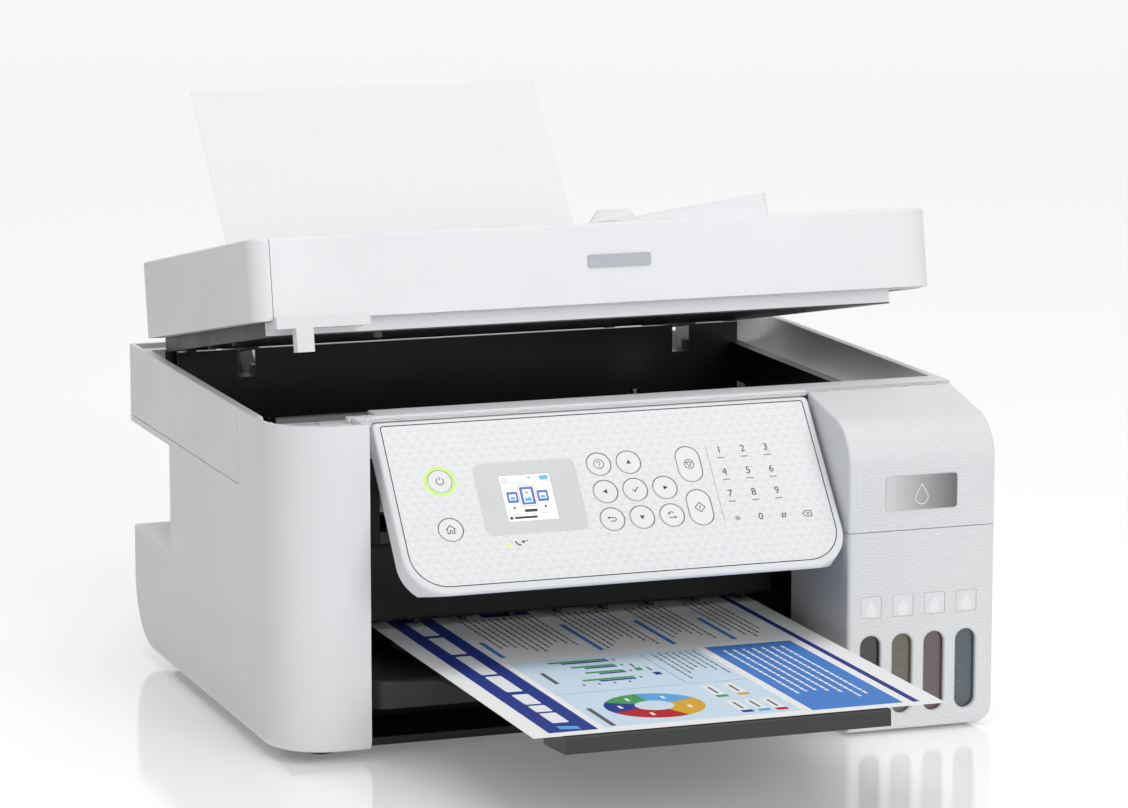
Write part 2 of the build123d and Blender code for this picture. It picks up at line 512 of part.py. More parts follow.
with BuildPart(MACHINE) as main_frame:
    block(FRAME_X, (WEB_Y, WEB_Y + SHEET_METAL), (RAIL_Z, 140))
    block(FRAME_X, (196, WEB_Y + SHEET_METAL), (140 - SHEET_METAL, 140))
    block(FRAME_X, (200, WEB_Y + SHEET_METAL), (RAIL_Z, RAIL_Z + SHEET_METAL))
    for x, flange in ((FRAME_X[0] - SHEET_METAL, -6), (FRAME_X[1], 7.5)):
        block((x, x + SHEET_METAL), (92, 235), (CHASSIS_Z[1], 140))
        block((min(x, x + flange), max(x, x + flange)), (92, 235), (CHASSIS_Z[1], CHASSIS_Z[1] + SHEET_METAL))
        block((x - 1, x + SHEET_METAL + 1), (140, 196), (20, 76), Mode.SUBTRACT)
    with Locations(Location((IDLER_X, (WEB_Y + 200.5) / 2, BELT_Z), (90, 0, 0))):
        Cylinder(2.0, WEB_Y - 200.5)
    bar(DRIVE_X, (WEB_Y - 1, WEB_Y + 3), BELT_Z, 4.5, Mode.SUBTRACT)
    for (y, z), radius in ((FEED_AXLE, 3.0), (EXIT_AXLE, 2.5)):
        rod((-170, 155), y, z, radius + FIT, Mode.SUBTRACT)
save(main_frame, "main_frame")

with BuildPart(MACHINE) as timing_belt:
    with BuildSketch(FACE.offset(-BELT_Y[0])):
        with Locations(((IDLER_X + DRIVE_X) / 2, BELT_Z)):
            SlotCenterToCenter(DRIVE_X - IDLER_X, 2 * (PULLEY_RADIUS + BELT_THICKNESS))
            SlotCenterToCenter(DRIVE_X - IDLER_X, 2 * PULLEY_RADIUS, mode=Mode.SUBTRACT)
    extrude(amount=BELT_Y[0] - BELT_Y[1])
save(timing_belt, "timing_belt")

for name, x, bore in (("drive_pulley", DRIVE_X, 1.5), ("idler_pulley", IDLER_X, 2.0)):
    with BuildPart(MACHINE) as pulley:
        bar(x, (BELT_Y[0] - 0.9, BELT_Y[1] + 0.9), BELT_Z, PULLEY_RADIUS - 0.1)
        with BuildSketch(FACE.offset(-BELT_Y[0] + 0.9)) as grooves:
            with Locations((x, BELT_Z)):
                with PolarLocations(PULLEY_RADIUS, 18):
                    Circle(0.55)
        extrude(amount=-8, mode=Mode.SUBTRACT)
        for y in (BELT_Y[0] - 0.9, BELT_Y[1] + 0.2):
            bar(x, (y, y + 0.7), BELT_Z, PULLEY_RADIUS + 1.8)
        bar(x, (200, 212), BELT_Z, bore + FIT, Mode.SUBTRACT)
    save(pulley, name)

with BuildPart(MACHINE) as carriage_motor:
    bar(DRIVE_X, (WEB_Y + SHEET_METAL, WEB_Y + 27), BELT_Z, MOTOR_RADIUS)
    chamfer(carriage_motor.faces().sort_by(Axis.Y)[-1].edges(), 1.5)
    bar(DRIVE_X, (WEB_Y + 27, WEB_Y + 29), BELT_Z, 5)
    bar(DRIVE_X, (201.2, WEB_Y + 2), BELT_Z, 1.5)
save(carriage_motor, "carriage_motor")

CARRIAGE_X = (60.0, 140.0)
CARRIAGE_Y = (150.0, 202.0)
CARRIAGE_Z = (62.0, 112.0)
NOZZLE_Z = 54.5

with BuildPart(MACHINE) as carriage:
    block(CARRIAGE_X, CARRIAGE_Y, CARRIAGE_Z)
    fillet(carriage.edges().filter_by(Axis.Z), 3)
    fillet(carriage.faces().sort_by(Axis.Z)[-1].edges(), 1.5)
    block((66, 134), (156, 196), (100, 113), Mode.SUBTRACT)
    block((112, 136), (160, 192), (NOZZLE_Z, CARRIAGE_Z[0]))
    block((66, 106), (164, 188), (58, CARRIAGE_Z[0]))
    for k in range(4):
        post(76 + 16 * k, 176, (99, 106), 5)
        post(76 + 16 * k, 176, (103, 107), 2, Mode.SUBTRACT)
    block((94, 106), (201, 210.5), (112 - 4, 121.5))
    block((90, 110), (199, 203), (104, 121.5))
    low_strand = BELT_Z - PULLEY_RADIUS - BELT_THICKNESS
    block((80, 120), (BELT_Y[0] - 0.4, 215), (low_strand - GAP, low_strand + BELT_THICKNESS + GAP), Mode.SUBTRACT)
    block((50, 150), (200 - GAP, 215), (RAIL_Z - GAP, RAIL_Z + SHEET_METAL + GAP), Mode.SUBTRACT)
save(carriage, "carriage")

with BuildPart(MACHINE) as platen:
    block((-150, 108), (152, 200), (44, 47))
    for rib in range(13):
        x = -126 + 18.5 * rib
        block((x, x + 1.5), (152, 200), (47, 52.3))
    block((-150, -140), (160, 190), (CHASSIS_Z[1], 44))
    block((104, 108), (155, 195), (CHASSIS_Z[1], 44))
save(platen, "platen")

with BuildPart(MACHINE) as maintenance_station:
    block((109.5, 146), (150, 205), (CHASSIS_Z[1], 46))
    block((113, 135), (162, 190), (46, 52))
    block((115, 133), (164, 188), (49, 53), Mode.SUBTRACT)
    block((138, 143), (160, 192), (46, 58))
save(maintenance_station, "maintenance_station")

for name, (y, z), radius, axle, gear in (
    ("feed_roller", FEED_AXLE, 7.0, 3.0, 15.0),
    ("exit_roller", EXIT_AXLE, 5.9, 2.5, 12.0),
):
    with BuildPart(MACHINE) as roller:
        rod((FRAME_X[0] - 4, FRAME_X[1] + 4), y, z, axle)
        if name == "feed_roller":
            rod((-125, 103), y, z, radius)
        else:
            for k in range(6):
                rod((-112 + 38 * k, -96 + 38 * k), y, z, radius)
        rod((-161, -155), y, z, gear - 1.2)
        with BuildSketch(SIDE.offset(-161)) as teeth:
            with Locations((y, z)):
                with PolarLocations(gear - 0.8, round(1.6 * gear)):
                    Rectangle(2.4, 1.6)
        extrude(amount=6)
    save(roller, name)

with BuildPart(MACHINE) as exit_roller_holder:
    block((FRAME_X[0], FRAME_X[1]), (104, 124), (66, 76))
    block((-137, 103), (96, 100), (57, 98))
    block((-137, 103), (96, 126), (94, 98))
    block((-137, 103), (96, 106), (66, 76))
    for k in range(9):
        x = -122 + 26 * k
        block((x, x + 3), (98, 126), (54.5, 68))
    block((-137, -114), (98, 124), (58, 148))
    fillet(exit_roller_holder.edges().filter_by(Axis.X).group_by(Axis.Y)[0], 1.5)
save(exit_roller_holder, "exit_roller_holder")

# ---------------------------------------------------------------- rear paper feed
GUIDE_LEFT = (-126.0, -123.5)
FOOT_LEFT = (-134.0, -131.5)  # the housing is wider below, where the edge guide slides
GUIDE_RIGHT = (94.8, 97.6)
HINGE_PLATE = (119.0, 121.6)
PICK_AT = (35.0, 14.7)  # along the slope and its normal
PICK_RADIUS = 14.0
PICK_X = (-40.0, 20.0)
HINGE_OFFSET = (LID_HINGE[0] - FEED_START[0], LID_HINGE[1] - FEED_START[1])
HINGE_AT = (
    HINGE_OFFSET[0] * cos(radians(FEED_SLOPE)) + HINGE_OFFSET[1] * sin(radians(FEED_SLOPE)),
    HINGE_OFFSET[1] * cos(radians(FEED_SLOPE)) - HINGE_OFFSET[0] * sin(radians(FEED_SLOPE)),
)
HINGE_PIN = 2.5

with BuildPart(FEED) as rear_feed_housing:
    block((FOOT_LEFT[0], GUIDE_RIGHT[1]), (-4, 66), (-3, -0.1))
    block((GUIDE_LEFT[0], GUIDE_RIGHT[1]), (65, 120), (-3, -0.1))
    block((FOOT_LEFT[0], GUIDE_LEFT[1]), (63.5, 66), (-4, 8))
    block(GUIDE_LEFT, (64, 124), (-4, 8))
    block(FOOT_LEFT, (-4, 65), (-4, 8))
    block(GUIDE_RIGHT, (-4, 124), (-4, 8))
    for cheek in (FOOT_LEFT, GUIDE_RIGHT):
        block(cheek, (26, 44), (7, 35))
    block((FOOT_LEFT[0], GUIDE_RIGHT[1]), (30, 40), (31, 35))
    for x in (PICK_X[0] - 6, PICK_X[1] + 3):
        block((x, x + 3), (PICK_AT[0] - 5, PICK_AT[0] + 5), (8, 32))
    block((GUIDE_RIGHT[1] - 1, HINGE_PLATE[1]), (92, 102), (-3, 1))
    block(HINGE_PLATE, (92, 124), (-3, 10))
    rod((-130, 125), *HINGE_AT, HINGE_PIN + FIT, Mode.SUBTRACT)
    rod((PICK_X[0] - 7, PICK_X[1] + 7), *PICK_AT, 3 + FIT, Mode.SUBTRACT)
    for stop in ((FOOT_LEFT[0], -48), (28, GUIDE_RIGHT[1])):
        block(stop, (-4, 0), (-3, 7))
    block((-130.6, -119), (8, 60), (-4, 1), Mode.SUBTRACT)
    for x in (-84.0, 60.4):
        block((x, x + 3.6), (24, 116), (-10.5, -2.9))
        block((x, x + 3.6), (24, 60), (-10.5, -9.4))
    for leg in (FOOT_LEFT, GUIDE_RIGHT):
        with BuildSketch(SIDE.offset(leg[0])) as leg_outline:
            with BuildLine() as leg_line:
                Polyline((249, CHASSIS_Z[1]), (281, CHASSIS_Z[1]), (281, 108), (251, 76), (249, CHASSIS_Z[1]))
            make_face(leg_line.edges())
        extrude(leg_outline.sketch, amount=leg[1] - leg[0])
save(rear_feed_housing, "rear_feed_housing")

with BuildPart(FEED) as pick_roller:
    rod((PICK_X[0] - 9, PICK_X[1] + 9), *PICK_AT, 3)
    rod(PICK_X, *PICK_AT, PICK_RADIUS - 0.1)
    rod((PICK_X[0] + 14, PICK_X[1] - 14), *PICK_AT, PICK_RADIUS + 1, Mode.SUBTRACT)
    rod((PICK_X[0] + 13, PICK_X[1] - 13), *PICK_AT, 3)
    rod((PICK_X[1] + 6.4, PICK_X[1] + 9), *PICK_AT, 9)
save(pick_roller, "pick_roller")

with BuildPart(FEED) as paper_support:
    block((-80, 60), (110, 232), (-9, -6.5))
    corners = paper_support.edges().filter_by(Axis((0, 0, 0), FEED.z_dir))
    fillet(corners.group_by(Axis.Y)[-1], 8)
    block((-72, 52), (224, 228), (-6.5, -5.2))
save(paper_support, "paper_support")

with BuildPart(FEED) as edge_guide:
    block((-119.4, -116.4), (12, 62), (0.3, 14))
    block((-122, -116.4), (12, 62), (0.1, 1.8))
    block((-122, -119.4), (12, 30), (-2.6, 1.8))
    block((-119.4, -116.4), (12, 22), (8, 15), Mode.SUBTRACT)
save(edge_guide, "edge_guide")

# ---------------------------------------------------------------- electronics
with BuildPart(MACHINE) as main_board:
    block((165, 166.6), (112, 288), (24, 148))
    for y, z in ((118, 34), (118, 134), (228, 34), (228, 134)):
        rod((FRAME_X[1] + SHEET_METAL, 165), y, z, 3.5)
    for y, z, size in ((150, 90, 24), (205, 90, 14), (205, 60, 18), (265, 100, 12)):
        block((166.6, 168.4), (y - size / 2, y + size / 2), (z - size / 2, z + size / 2))
    for y in (140, 165, 190, 215):
        block((166.6, 174), (y - 9, y + 9), (136, 144))
    block((166.6, 178), (262, 280), (40, 60))
save(main_board, "main_board")

INLET_X = (-126.4, -99.6)
INLET_Z = (19.8, 41.2)

with BuildPart(MACHINE) as power_supply:
    block((-132, -94), (285, BODY_REAR - WALL), (CHASSIS_Z[1], 50))
    bottom_rear = power_supply.edges().filter_by(Axis.X).sort_by(Axis.Y)[-2:].sort_by(Axis.Z)[0]
    chamfer(bottom_rear, 17)
    block(INLET_X, (BODY_REAR - WALL - 1, BODY_REAR - 0.4), INLET_Z)
    inlet = (sum(INLET_X) / 2, sum(INLET_Z) / 2)
    block((inlet[0] - 11, inlet[0] + 11), (BODY_REAR - 17, BODY_REAR + 1), (inlet[1] - 7, inlet[1] + 7), Mode.SUBTRACT)
    for dx, dz in ((-7, 0), (7, 0), (0, 3)):
        block((inlet[0] + dx - 1, inlet[0] + dx + 1), (BODY_REAR - 18, BODY_REAR - 4),
              (inlet[1] + dz - 2, inlet[1] + dz + 2))
save(power_supply, "power_supply")

# ---------------------------------------------------------------- scanner unit
LOWER_X = (-177.0, 163.5)
LOWER_Y = (79.5, 283.0)
LOWER_Z = (165.3, 173.0)
UPPER_X = (-172.5, 183.5)
UPPER_Y = (71.5, 277.5)
UPPER_TOP = 187.5
GLASS_X = (-170.0, 160.4)
GLASS_Y = (83.6, 268.4)
GLASS = 3.0
CAVITY_X = (-168.0, 158.0)
CAVITY_Y = (86.0, 266.0)
COVER_HINGE = (290.0, 178.0)  # Y and Z with the scanner unit shut
COVER_HINGE_X = (-98.0, 98.0)
COVER_PIN = 2.0


def lid_bar(x, y, z, radius, mode=Mode.ADD):
    """A round bar along Y on the scanner unit, given where it would be with the unit shut."""
    bar(x, (y[0] - LID_HINGE[0], y[1] - LID_HINGE[0]), z - LID_HINGE[1], radius, mode)


def lid_plan(x, y, z, left, right, mode=Mode.ADD):
    """A block on the scanner unit with its left and its right corners rounded in plan."""
    with BuildSketch(LID.offset(z[0] - LID_HINGE[1])) as plan:
        with Locations((x[0], y[0] - LID_HINGE[0])):
            Rectangle(x[1] - x[0], y[1] - y[0], align=(Align.MIN, Align.MIN))
        if left:
            fillet(plan.vertices().group_by(Axis.X)[0], left)
        if right:
            fillet(plan.vertices().group_by(Axis.X)[-1], right)
    extrude(plan.sketch, amount=z[1] - z[0], mode=mode)


with BuildPart(LID) as scanner_case:
    lid_box(LOWER_X, LOWER_Y, LOWER_Z)
    lid_plan(UPPER_X, UPPER_Y, (LOWER_Z[1] - 0.5, UPPER_TOP), 0, 15.5)
    lid_box((-177, -128), (61, 67.1), (168.7, 174.8))
    lid_box((-177, -128), (67, 82), (168.7, 172.8))
    lid_box((-167, -158), (61, 68), (156.7, 170))
    lid_box((-120, -116), (82, 86), (162.5, 166))
    lid_box(CAVITY_X, CAVITY_Y, (167.8, 190), Mode.SUBTRACT)
    lid_box(GLASS_X, GLASS_Y, (UPPER_TOP - GLASS, 190), Mode.SUBTRACT)
    lid_box(CAVITY_X, (172, 178), (167.5, 170.8))
    for arm in LID_ARMS:
        lid_box(arm, (276, 326), (LID_HINGE[1] - 3.6, LID_HINGE[1] + 4.2))
    rod((LID_ARMS[0][0], GUIDE_LEFT[1]), 0, 0, HINGE_PIN)
    rod((HINGE_PLATE[0], LID_ARMS[1][1]), 0, 0, HINGE_PIN)
    pin_y, pin_z = COVER_HINGE[0] - LID_HINGE[0], COVER_HINGE[1] - LID_HINGE[1]
    for x in COVER_HINGE_X:
        lid_box((x - 6, x + 6), (277, COVER_HINGE[0]), (175, 181))
        rod((x - 6, x + 6), pin_y, pin_z, 3.4)
        rod((x - 7, x + 7), pin_y, pin_z, COVER_PIN + FIT, Mode.SUBTRACT)
save(scanner_case, "scanner_case")

with BuildPart(LID) as scanner_glass:
    lid_box(GLASS_X, GLASS_Y, (UPPER_TOP - GLASS, UPPER_TOP))
save(scanner_glass, "scanner_glass")

with BuildPart(LID) as cis_carriage:
    lid_box((-165, -149), (90, 262), (171.3, 183.8))
    lid_box((-161.5, -152.5), (94, 258), (183, 184.2))
    lid_box((-170, -140), (171.6, 178.4), (165, 173), Mode.SUBTRACT)
    lid_box((-165, -149), (166, 171.6), (168.2, 172))
    lid_box((-165, -149), (178.4, 184), (168.2, 172))
save(cis_carriage, "cis_carriage")


# ---------------------------------------------------------------- document cover and feeder
SIDE_COVER_X = -176.7
COVER_LEFT = SIDE_COVER_X + 0.4
MAT_Z = 189.2
FLOOR_Z = 191.6
ADF_X = (-173.4, 0.0)
ADF_Y = (76.0, 279.0)
POCKET_X = (7.0, 180.0)
POCKET_Y = (90.0, 262.0)
POCKET_Z = 197.6
ADF_HINGE = (-168.5, 212.8)  # X and Z
FLAP_HINGE = (9.5, 212.8)
FLAP_RISE = 8.1
ROLLER_AT = (-30.0, 203.0)
FLAP = Plane(LID.location * Location((FLAP_HINGE[0], 0, FLAP_HINGE[1] - LID_HINGE[1]), (0, -FLAP_RISE, 0)))


with BuildPart(LID) as document_cover:
    lid_plan((COVER_LEFT, HALF_WIDTH), (LID_FRONT, LID_REAR), (LID_BOTTOM, LID_TOP), 0, 19)
    top_rim = document_cover.faces().sort_by(Axis((0, 0, 0), LID.z_dir))[-1].edges()
    fillet(top_rim.filter_by(lambda edge: edge.center().X > COVER_LEFT + 1), 1.6)
    lid_plan((COVER_LEFT + WALL, HALF_WIDTH - WALL), (LID_FRONT + WALL, LID_REAR - WALL), (170, MAT_Z), 0, 16.5,
             Mode.SUBTRACT)
    lid_box(ADF_X, ADF_Y, (FLOOR_Z, 220), Mode.SUBTRACT)
    lid_box(POCKET_X, POCKET_Y, (POCKET_Z, 220), Mode.SUBTRACT)
    lid_box((-10, POCKET_X[1]), POCKET_Y, (FLOOR_Z, POCKET_Z - WALL), Mode.SUBTRACT)
    lid_box((-1, 8), (100, 252), (198, 206), Mode.SUBTRACT)
    for x in COVER_HINGE_X:
        lid_box((x - 6.4, x + 6.4), (285, 289), (170, 190), Mode.SUBTRACT)
        for ear in (x - 10, x + 6.4):
            lid_box((ear, ear + 3.6), (286, 293.5), (174.5, 204))
        rod((x - 10, x + 10), pin_y, pin_z, COVER_PIN)
    lid_bar(ADF_HINGE[0], (70, 285), ADF_HINGE[1], 1.2 + FIT, Mode.SUBTRACT)
    lid_bar(FLAP_HINGE[0], (86, 266), FLAP_HINGE[1], 1.2 + FIT, Mode.SUBTRACT)
    lid_bar(ROLLER_AT[0], (73, 282), ROLLER_AT[1], 3 + FIT, Mode.SUBTRACT)
save(document_cover, "document_cover")

with BuildPart(LID) as adf_side_cover:
    lid_plan((-HALF_WIDTH, SIDE_COVER_X), (LID_FRONT, LID_REAR), (LID_BOTTOM, LID_TOP), 10.5, 0)
    top_rim = adf_side_cover.faces().sort_by(Axis((0, 0, 0), LID.z_dir))[-1].edges()
    fillet(top_rim.filter_by(lambda edge: edge.center().X < SIDE_COVER_X - 1), 1.6)
    lid_plan((-HALF_WIDTH + WALL, SIDE_COVER_X + 1), (LID_FRONT + WALL, LID_REAR - WALL), (170, LID_TOP - WALL),
             8, 0, Mode.SUBTRACT)
    lid_box((SIDE_COVER_X - 2, SIDE_COVER_X), (LID_FRONT + 1, LID_REAR - 1), (178, LID_TOP - 1))
save(adf_side_cover, "adf_side_cover")

with BuildPart(LID) as adf_cover:
    lid_box((-172.8, ADF_X[1] - 0.5), (ADF_Y[0] + GAP, ADF_Y[1] - GAP), (LID_TOP - WALL, LID_TOP))
    fillet(adf_cover.edges().filter_by(Axis((0, 0, 0), LID.z_dir)), 3)
    for y in (110, 175, 240):
        lid_box((-160, -44), (y, y + 2), (207, LID_TOP - 2))
    lid_bar(ADF_HINGE[0], (74.2, 84), ADF_HINGE[1], 1.2)
    lid_bar(ADF_HINGE[0], (271, 280.8), ADF_HINGE[1], 1.2)
save(adf_cover, "adf_cover")

with BuildPart(LID) as adf_roller:
    lid_bar(ROLLER_AT[0], (74, 281), ROLLER_AT[1], 3)
    for y in (112, 158, 204):
        lid_bar(ROLLER_AT[0], (y, y + 34), ROLLER_AT[1], 7)
    lid_bar(ROLLER_AT[0], (262, 268), ROLLER_AT[1], 7.6)
save(adf_roller, "adf_roller")

FLAP_Y = (90.8 - LID_HINGE[0], 261.2 - LID_HINGE[0])
GUIDE_Y = -205.0
with BuildPart(FLAP) as adf_input_tray:
    block((-1.4, 93.5), FLAP_Y, (-1.2, 1.3))
    for y in (FLAP_Y[0], FLAP_Y[1] - 2):
        block((4, 93.5), (y, y + 2), (-11.5, 1.3))
    block((91.3, 93.5), FLAP_Y, (-11.5, 1.3))
    fillet(adf_input_tray.edges().filter_by(Axis((0, 0, 0), FLAP.z_dir)).group_by(Axis.X)[-1], 2)
    for y in ((FLAP_Y[0] - 2.8, FLAP_Y[0] + 10), (FLAP_Y[1] - 10, FLAP_Y[1] + 2.8)):
        bar(0, y, 0, 1.2)
    block((9, 17), (FLAP_Y[0] + 8, FLAP_Y[0] + 90), (-3, 3), Mode.SUBTRACT)
save(adf_input_tray, "adf_input_tray")

with BuildPart(FLAP) as adf_edge_guide:
    with BuildSketch(Plane(FLAP.from_local_coords((0, GUIDE_Y, 0)), x_dir=FLAP.x_dir, z_dir=-FLAP.y_dir)) as fin:
        with BuildLine() as fin_line:
            Polyline((2, 1.5), (30, 1.5), (26, 7), (10, 9.5), (2, 1.5))
        make_face(fin_line.edges())
    extrude(fin.sketch, amount=2.5)
    block((9.4, 16.6), (GUIDE_Y - 8, GUIDE_Y + 8), (1.5, 3))
    block((9.4, 16.6), (GUIDE_Y - 8, GUIDE_Y + 8), (-3.2, 2))
    for x in ((6.5, 9.5), (16.5, 19.5)):
        block(x, (GUIDE_Y - 8, GUIDE_Y + 8), (-3.2, -1.5))
save(adf_edge_guide, "adf_edge_guide")


# ---------------------------------------------------------------- control panel
PANEL_X = (-132.5, 103.6)
PANEL_Q = (-96.5, 2.2)
PANEL_DEPTH = 11.0
PANEL_PLATE = 3.5
OVERLAY = 0.9
LCD_X = (-72.8, -45.9)
LCD_Q = (-58.6, -32.3)
BUTTON_GAP = 0.25
BUTTON_TRAVEL = 0.6
OVAL = 20.0
ROUND_BUTTONS = {
    "power": (-104.0, -33.4),
    "home": (-104.0, -60.8),
    "help": (-18.7, -29.6),
    "up": (-2.6, -29.6),
    "left": (-18.6, -45.4),
    "ok": (-2.6, -45.4),
    "right": (13.5, -45.4),
    "back": (-18.5, -61.2),
    "down": (-2.5, -61.2),
    "swap": (13.6, -61.3),
}
OVAL_BUTTONS = {"stop": (29.5, -33.0), "start": (29.5, -58.0)}


def button_shapes(extra):
    """Outlines of all the buttons, each grown by extra."""
    with Locations(*ROUND_BUTTONS.values()):
        Circle(BUTTON_RADIUS + extra)
    with Locations(*OVAL_BUTTONS.values()):
        SlotOverall(OVAL + 2 * extra, 2 * (BUTTON_RADIUS + extra), rotation=90)


with BuildPart(PANEL) as panel_frame:
    with BuildSketch(PANEL) as panel_outline:
        with Locations((PANEL_X[0], PANEL_Q[0])):
            Rectangle(PANEL_X[1] - PANEL_X[0], PANEL_Q[1] - PANEL_Q[0], align=(Align.MIN, Align.MIN))
        fillet(panel_outline.vertices().group_by(Axis.Y)[0], 22)
        fillet(panel_outline.vertices().group_by(Axis.Y)[-1], 3)
    extrude(amount=-PANEL_DEPTH)
    fillet(panel_frame.faces().sort_by(Axis((0, 0, 0), PANEL.z_dir))[-1].edges(), 1.5)
    with BuildSketch(PANEL.offset(-PANEL_DEPTH)) as panel_hollow:
        with Locations((PANEL_X[0] + WALL, PANEL_Q[0] + WALL)):
            Rectangle(PANEL_X[1] - PANEL_X[0] - 2 * WALL, PANEL_Q[1] - PANEL_Q[0] - 2 * WALL,
                      align=(Align.MIN, Align.MIN))
        fillet(panel_hollow.vertices().group_by(Axis.Y)[0], 22 - WALL)
    extrude(amount=PANEL_DEPTH - PANEL_PLATE, mode=Mode.SUBTRACT)
    with BuildSketch(PANEL.offset(-OVERLAY)) as recess:
        with Locations((OVERLAY_X[0], -OVERLAY_HEIGHT)):
            Rectangle(OVERLAY_X[1] - OVERLAY_X[0], OVERLAY_HEIGHT, align=(Align.MIN, Align.MIN))
        fillet(recess.vertices().group_by(Axis.Y)[0], 19)
        fillet(recess.vertices().group_by(Axis.Y)[-1], 2)
    extrude(amount=2, mode=Mode.SUBTRACT)
    with BuildSketch(PANEL.offset(-PANEL_PLATE - 1)):
        button_shapes(BUTTON_GAP)
    extrude(amount=6, mode=Mode.SUBTRACT)
    block((LCD_X[0] - 3.4, LCD_X[1] + 3.4), (LCD_Q[0] - 3, LCD_Q[1] + 3), (-6, 1), Mode.SUBTRACT)
    for x in KNUCKLES:
        for side in (-1, 1):
            ends = sorted((x + side * 3, x + side * 6.5))
            block(ends, (PANEL_PIVOT[0] - 3.4, PANEL_Q[1] - 1), (-9.4, -2))
        rod((x - 6.5, x + 6.5), *PANEL_PIVOT, PIN_RADIUS)
        block((x - 3, x + 3), (-7.5, 4), (-12, -2.4), Mode.SUBTRACT)
        rod((x - 3.5, x + 3.5), *PANEL_PIVOT, PIN_RADIUS)
    with BuildSketch(PANEL_SIDE.offset(PANEL_X[0] - 1)):
        low = PANEL_Q[0]
        with BuildLine():
            Polyline((low - 1, -1.5), (low, -1.5), (low + 6, -12), (low - 1, -12), (low - 1, -1.5))
        make_face()
    extrude(amount=PANEL_X[1] - PANEL_X[0] + 2, mode=Mode.SUBTRACT)
save(panel_frame, "panel_frame")

with BuildPart(PANEL) as panel_overlay:
    extrude(recess.sketch, amount=OVERLAY)
    with BuildSketch(PANEL.offset(-OVERLAY - 1)):
        button_shapes(BUTTON_GAP)
    extrude(amount=4, mode=Mode.SUBTRACT)
    block(LCD_X, LCD_Q, (-3, 3), Mode.SUBTRACT)
save(panel_overlay, "panel_overlay")

with BuildPart(PANEL) as lcd_display:
    block((LCD_X[0] - 3.2, LCD_X[1] + 3.2), (LCD_Q[0] - 2.8, LCD_Q[1] + 2.8), (-4.6, -OVERLAY))
    block(LCD_X, LCD_Q, (-1.2, -0.5))
save(lcd_display, "lcd_display")

BUTTON_PLACES = [(name, at, 0) for name, at in ROUND_BUTTONS.items()]
BUTTON_PLACES += [(name, at, OVAL) for name, at in OVAL_BUTTONS.items()]
for name, at, long in BUTTON_PLACES:
    with BuildPart(PANEL) as button:
        for radius, low, high in ((BUTTON_RADIUS, -5.4, 0.1), (BUTTON_RADIUS + 1.1, -5.4, -4.2)):
            with BuildSketch(PANEL.offset(low)):
                with Locations(at):
                    if long:
                        SlotOverall(long + 2 * (radius - BUTTON_RADIUS), 2 * radius, rotation=90)
                    else:
                        Circle(radius)
            extrude(amount=high - low)
        fillet(button.faces().sort_by(Axis((0, 0, 0), PANEL.z_dir))[-1].edges(), 0.5)
    save(button, f"button_{name}")
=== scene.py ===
"""Looks for the inkjet printer: materials, printed and moulded detail, studio and camera."""
import math

import bmesh
import bpy
from mathutils import Matrix, Vector


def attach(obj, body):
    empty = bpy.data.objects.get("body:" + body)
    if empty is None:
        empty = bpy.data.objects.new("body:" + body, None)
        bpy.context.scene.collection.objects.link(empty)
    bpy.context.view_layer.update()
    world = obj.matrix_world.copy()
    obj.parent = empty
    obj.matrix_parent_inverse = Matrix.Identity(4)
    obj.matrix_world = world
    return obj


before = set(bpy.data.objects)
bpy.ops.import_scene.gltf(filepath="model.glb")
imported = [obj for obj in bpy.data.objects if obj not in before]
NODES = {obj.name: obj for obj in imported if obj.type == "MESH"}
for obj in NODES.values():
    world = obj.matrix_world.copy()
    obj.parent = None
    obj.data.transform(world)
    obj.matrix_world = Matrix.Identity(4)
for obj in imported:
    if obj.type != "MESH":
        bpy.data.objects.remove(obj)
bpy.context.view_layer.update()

# ---------------------------------------------------------------- frames, in millimetres
FRONT_Y = -152.75


def tilted(y, z, angle):
    """The frame of a surface whose back edge is turned up by angle degrees about X."""
    turn = Matrix.Rotation(math.radians(angle), 4, "X")
    return Matrix.Translation((0, FRONT_Y + y, z)) @ turn


LID_HINGE = (325.0, 167.4)
MACHINE = Matrix.Translation((0, FRONT_Y, 0))
FACE = MACHINE @ Matrix.Rotation(math.radians(90), 4, "X")  # X stays, Y goes up, Z comes forward
LID = tilted(*LID_HINGE, -10.7) @ Matrix.Translation((0, -LID_HINGE[0], -LID_HINGE[1]))
LID_FRONT = LID @ Matrix.Translation((0, 67.5, 0)) @ Matrix.Rotation(math.radians(90), 4, "X")
PANEL = tilted(50.5, 168.4, 51.1)

# ---------------------------------------------------------------- camera
CAMERA_AT = (-0.79064, -2.0595 + FRONT_Y / 1000, 0.56489)
CAMERA_YAW = 19.81
CAMERA_PITCH = 9.89

camera_data = bpy.data.cameras.new("camera")
camera_data.lens = 143.2
camera_data.sensor_width = 36.0
camera_data.clip_start = 0.05
camera_data.clip_end = 40.0
camera = bpy.data.objects.new("camera", camera_data)
camera.location = CAMERA_AT
camera.rotation_euler = (math.radians(90 - CAMERA_PITCH), 0, math.radians(-CAMERA_YAW))
bpy.context.scene.collection.objects.link(camera)
bpy.context.scene.camera = camera


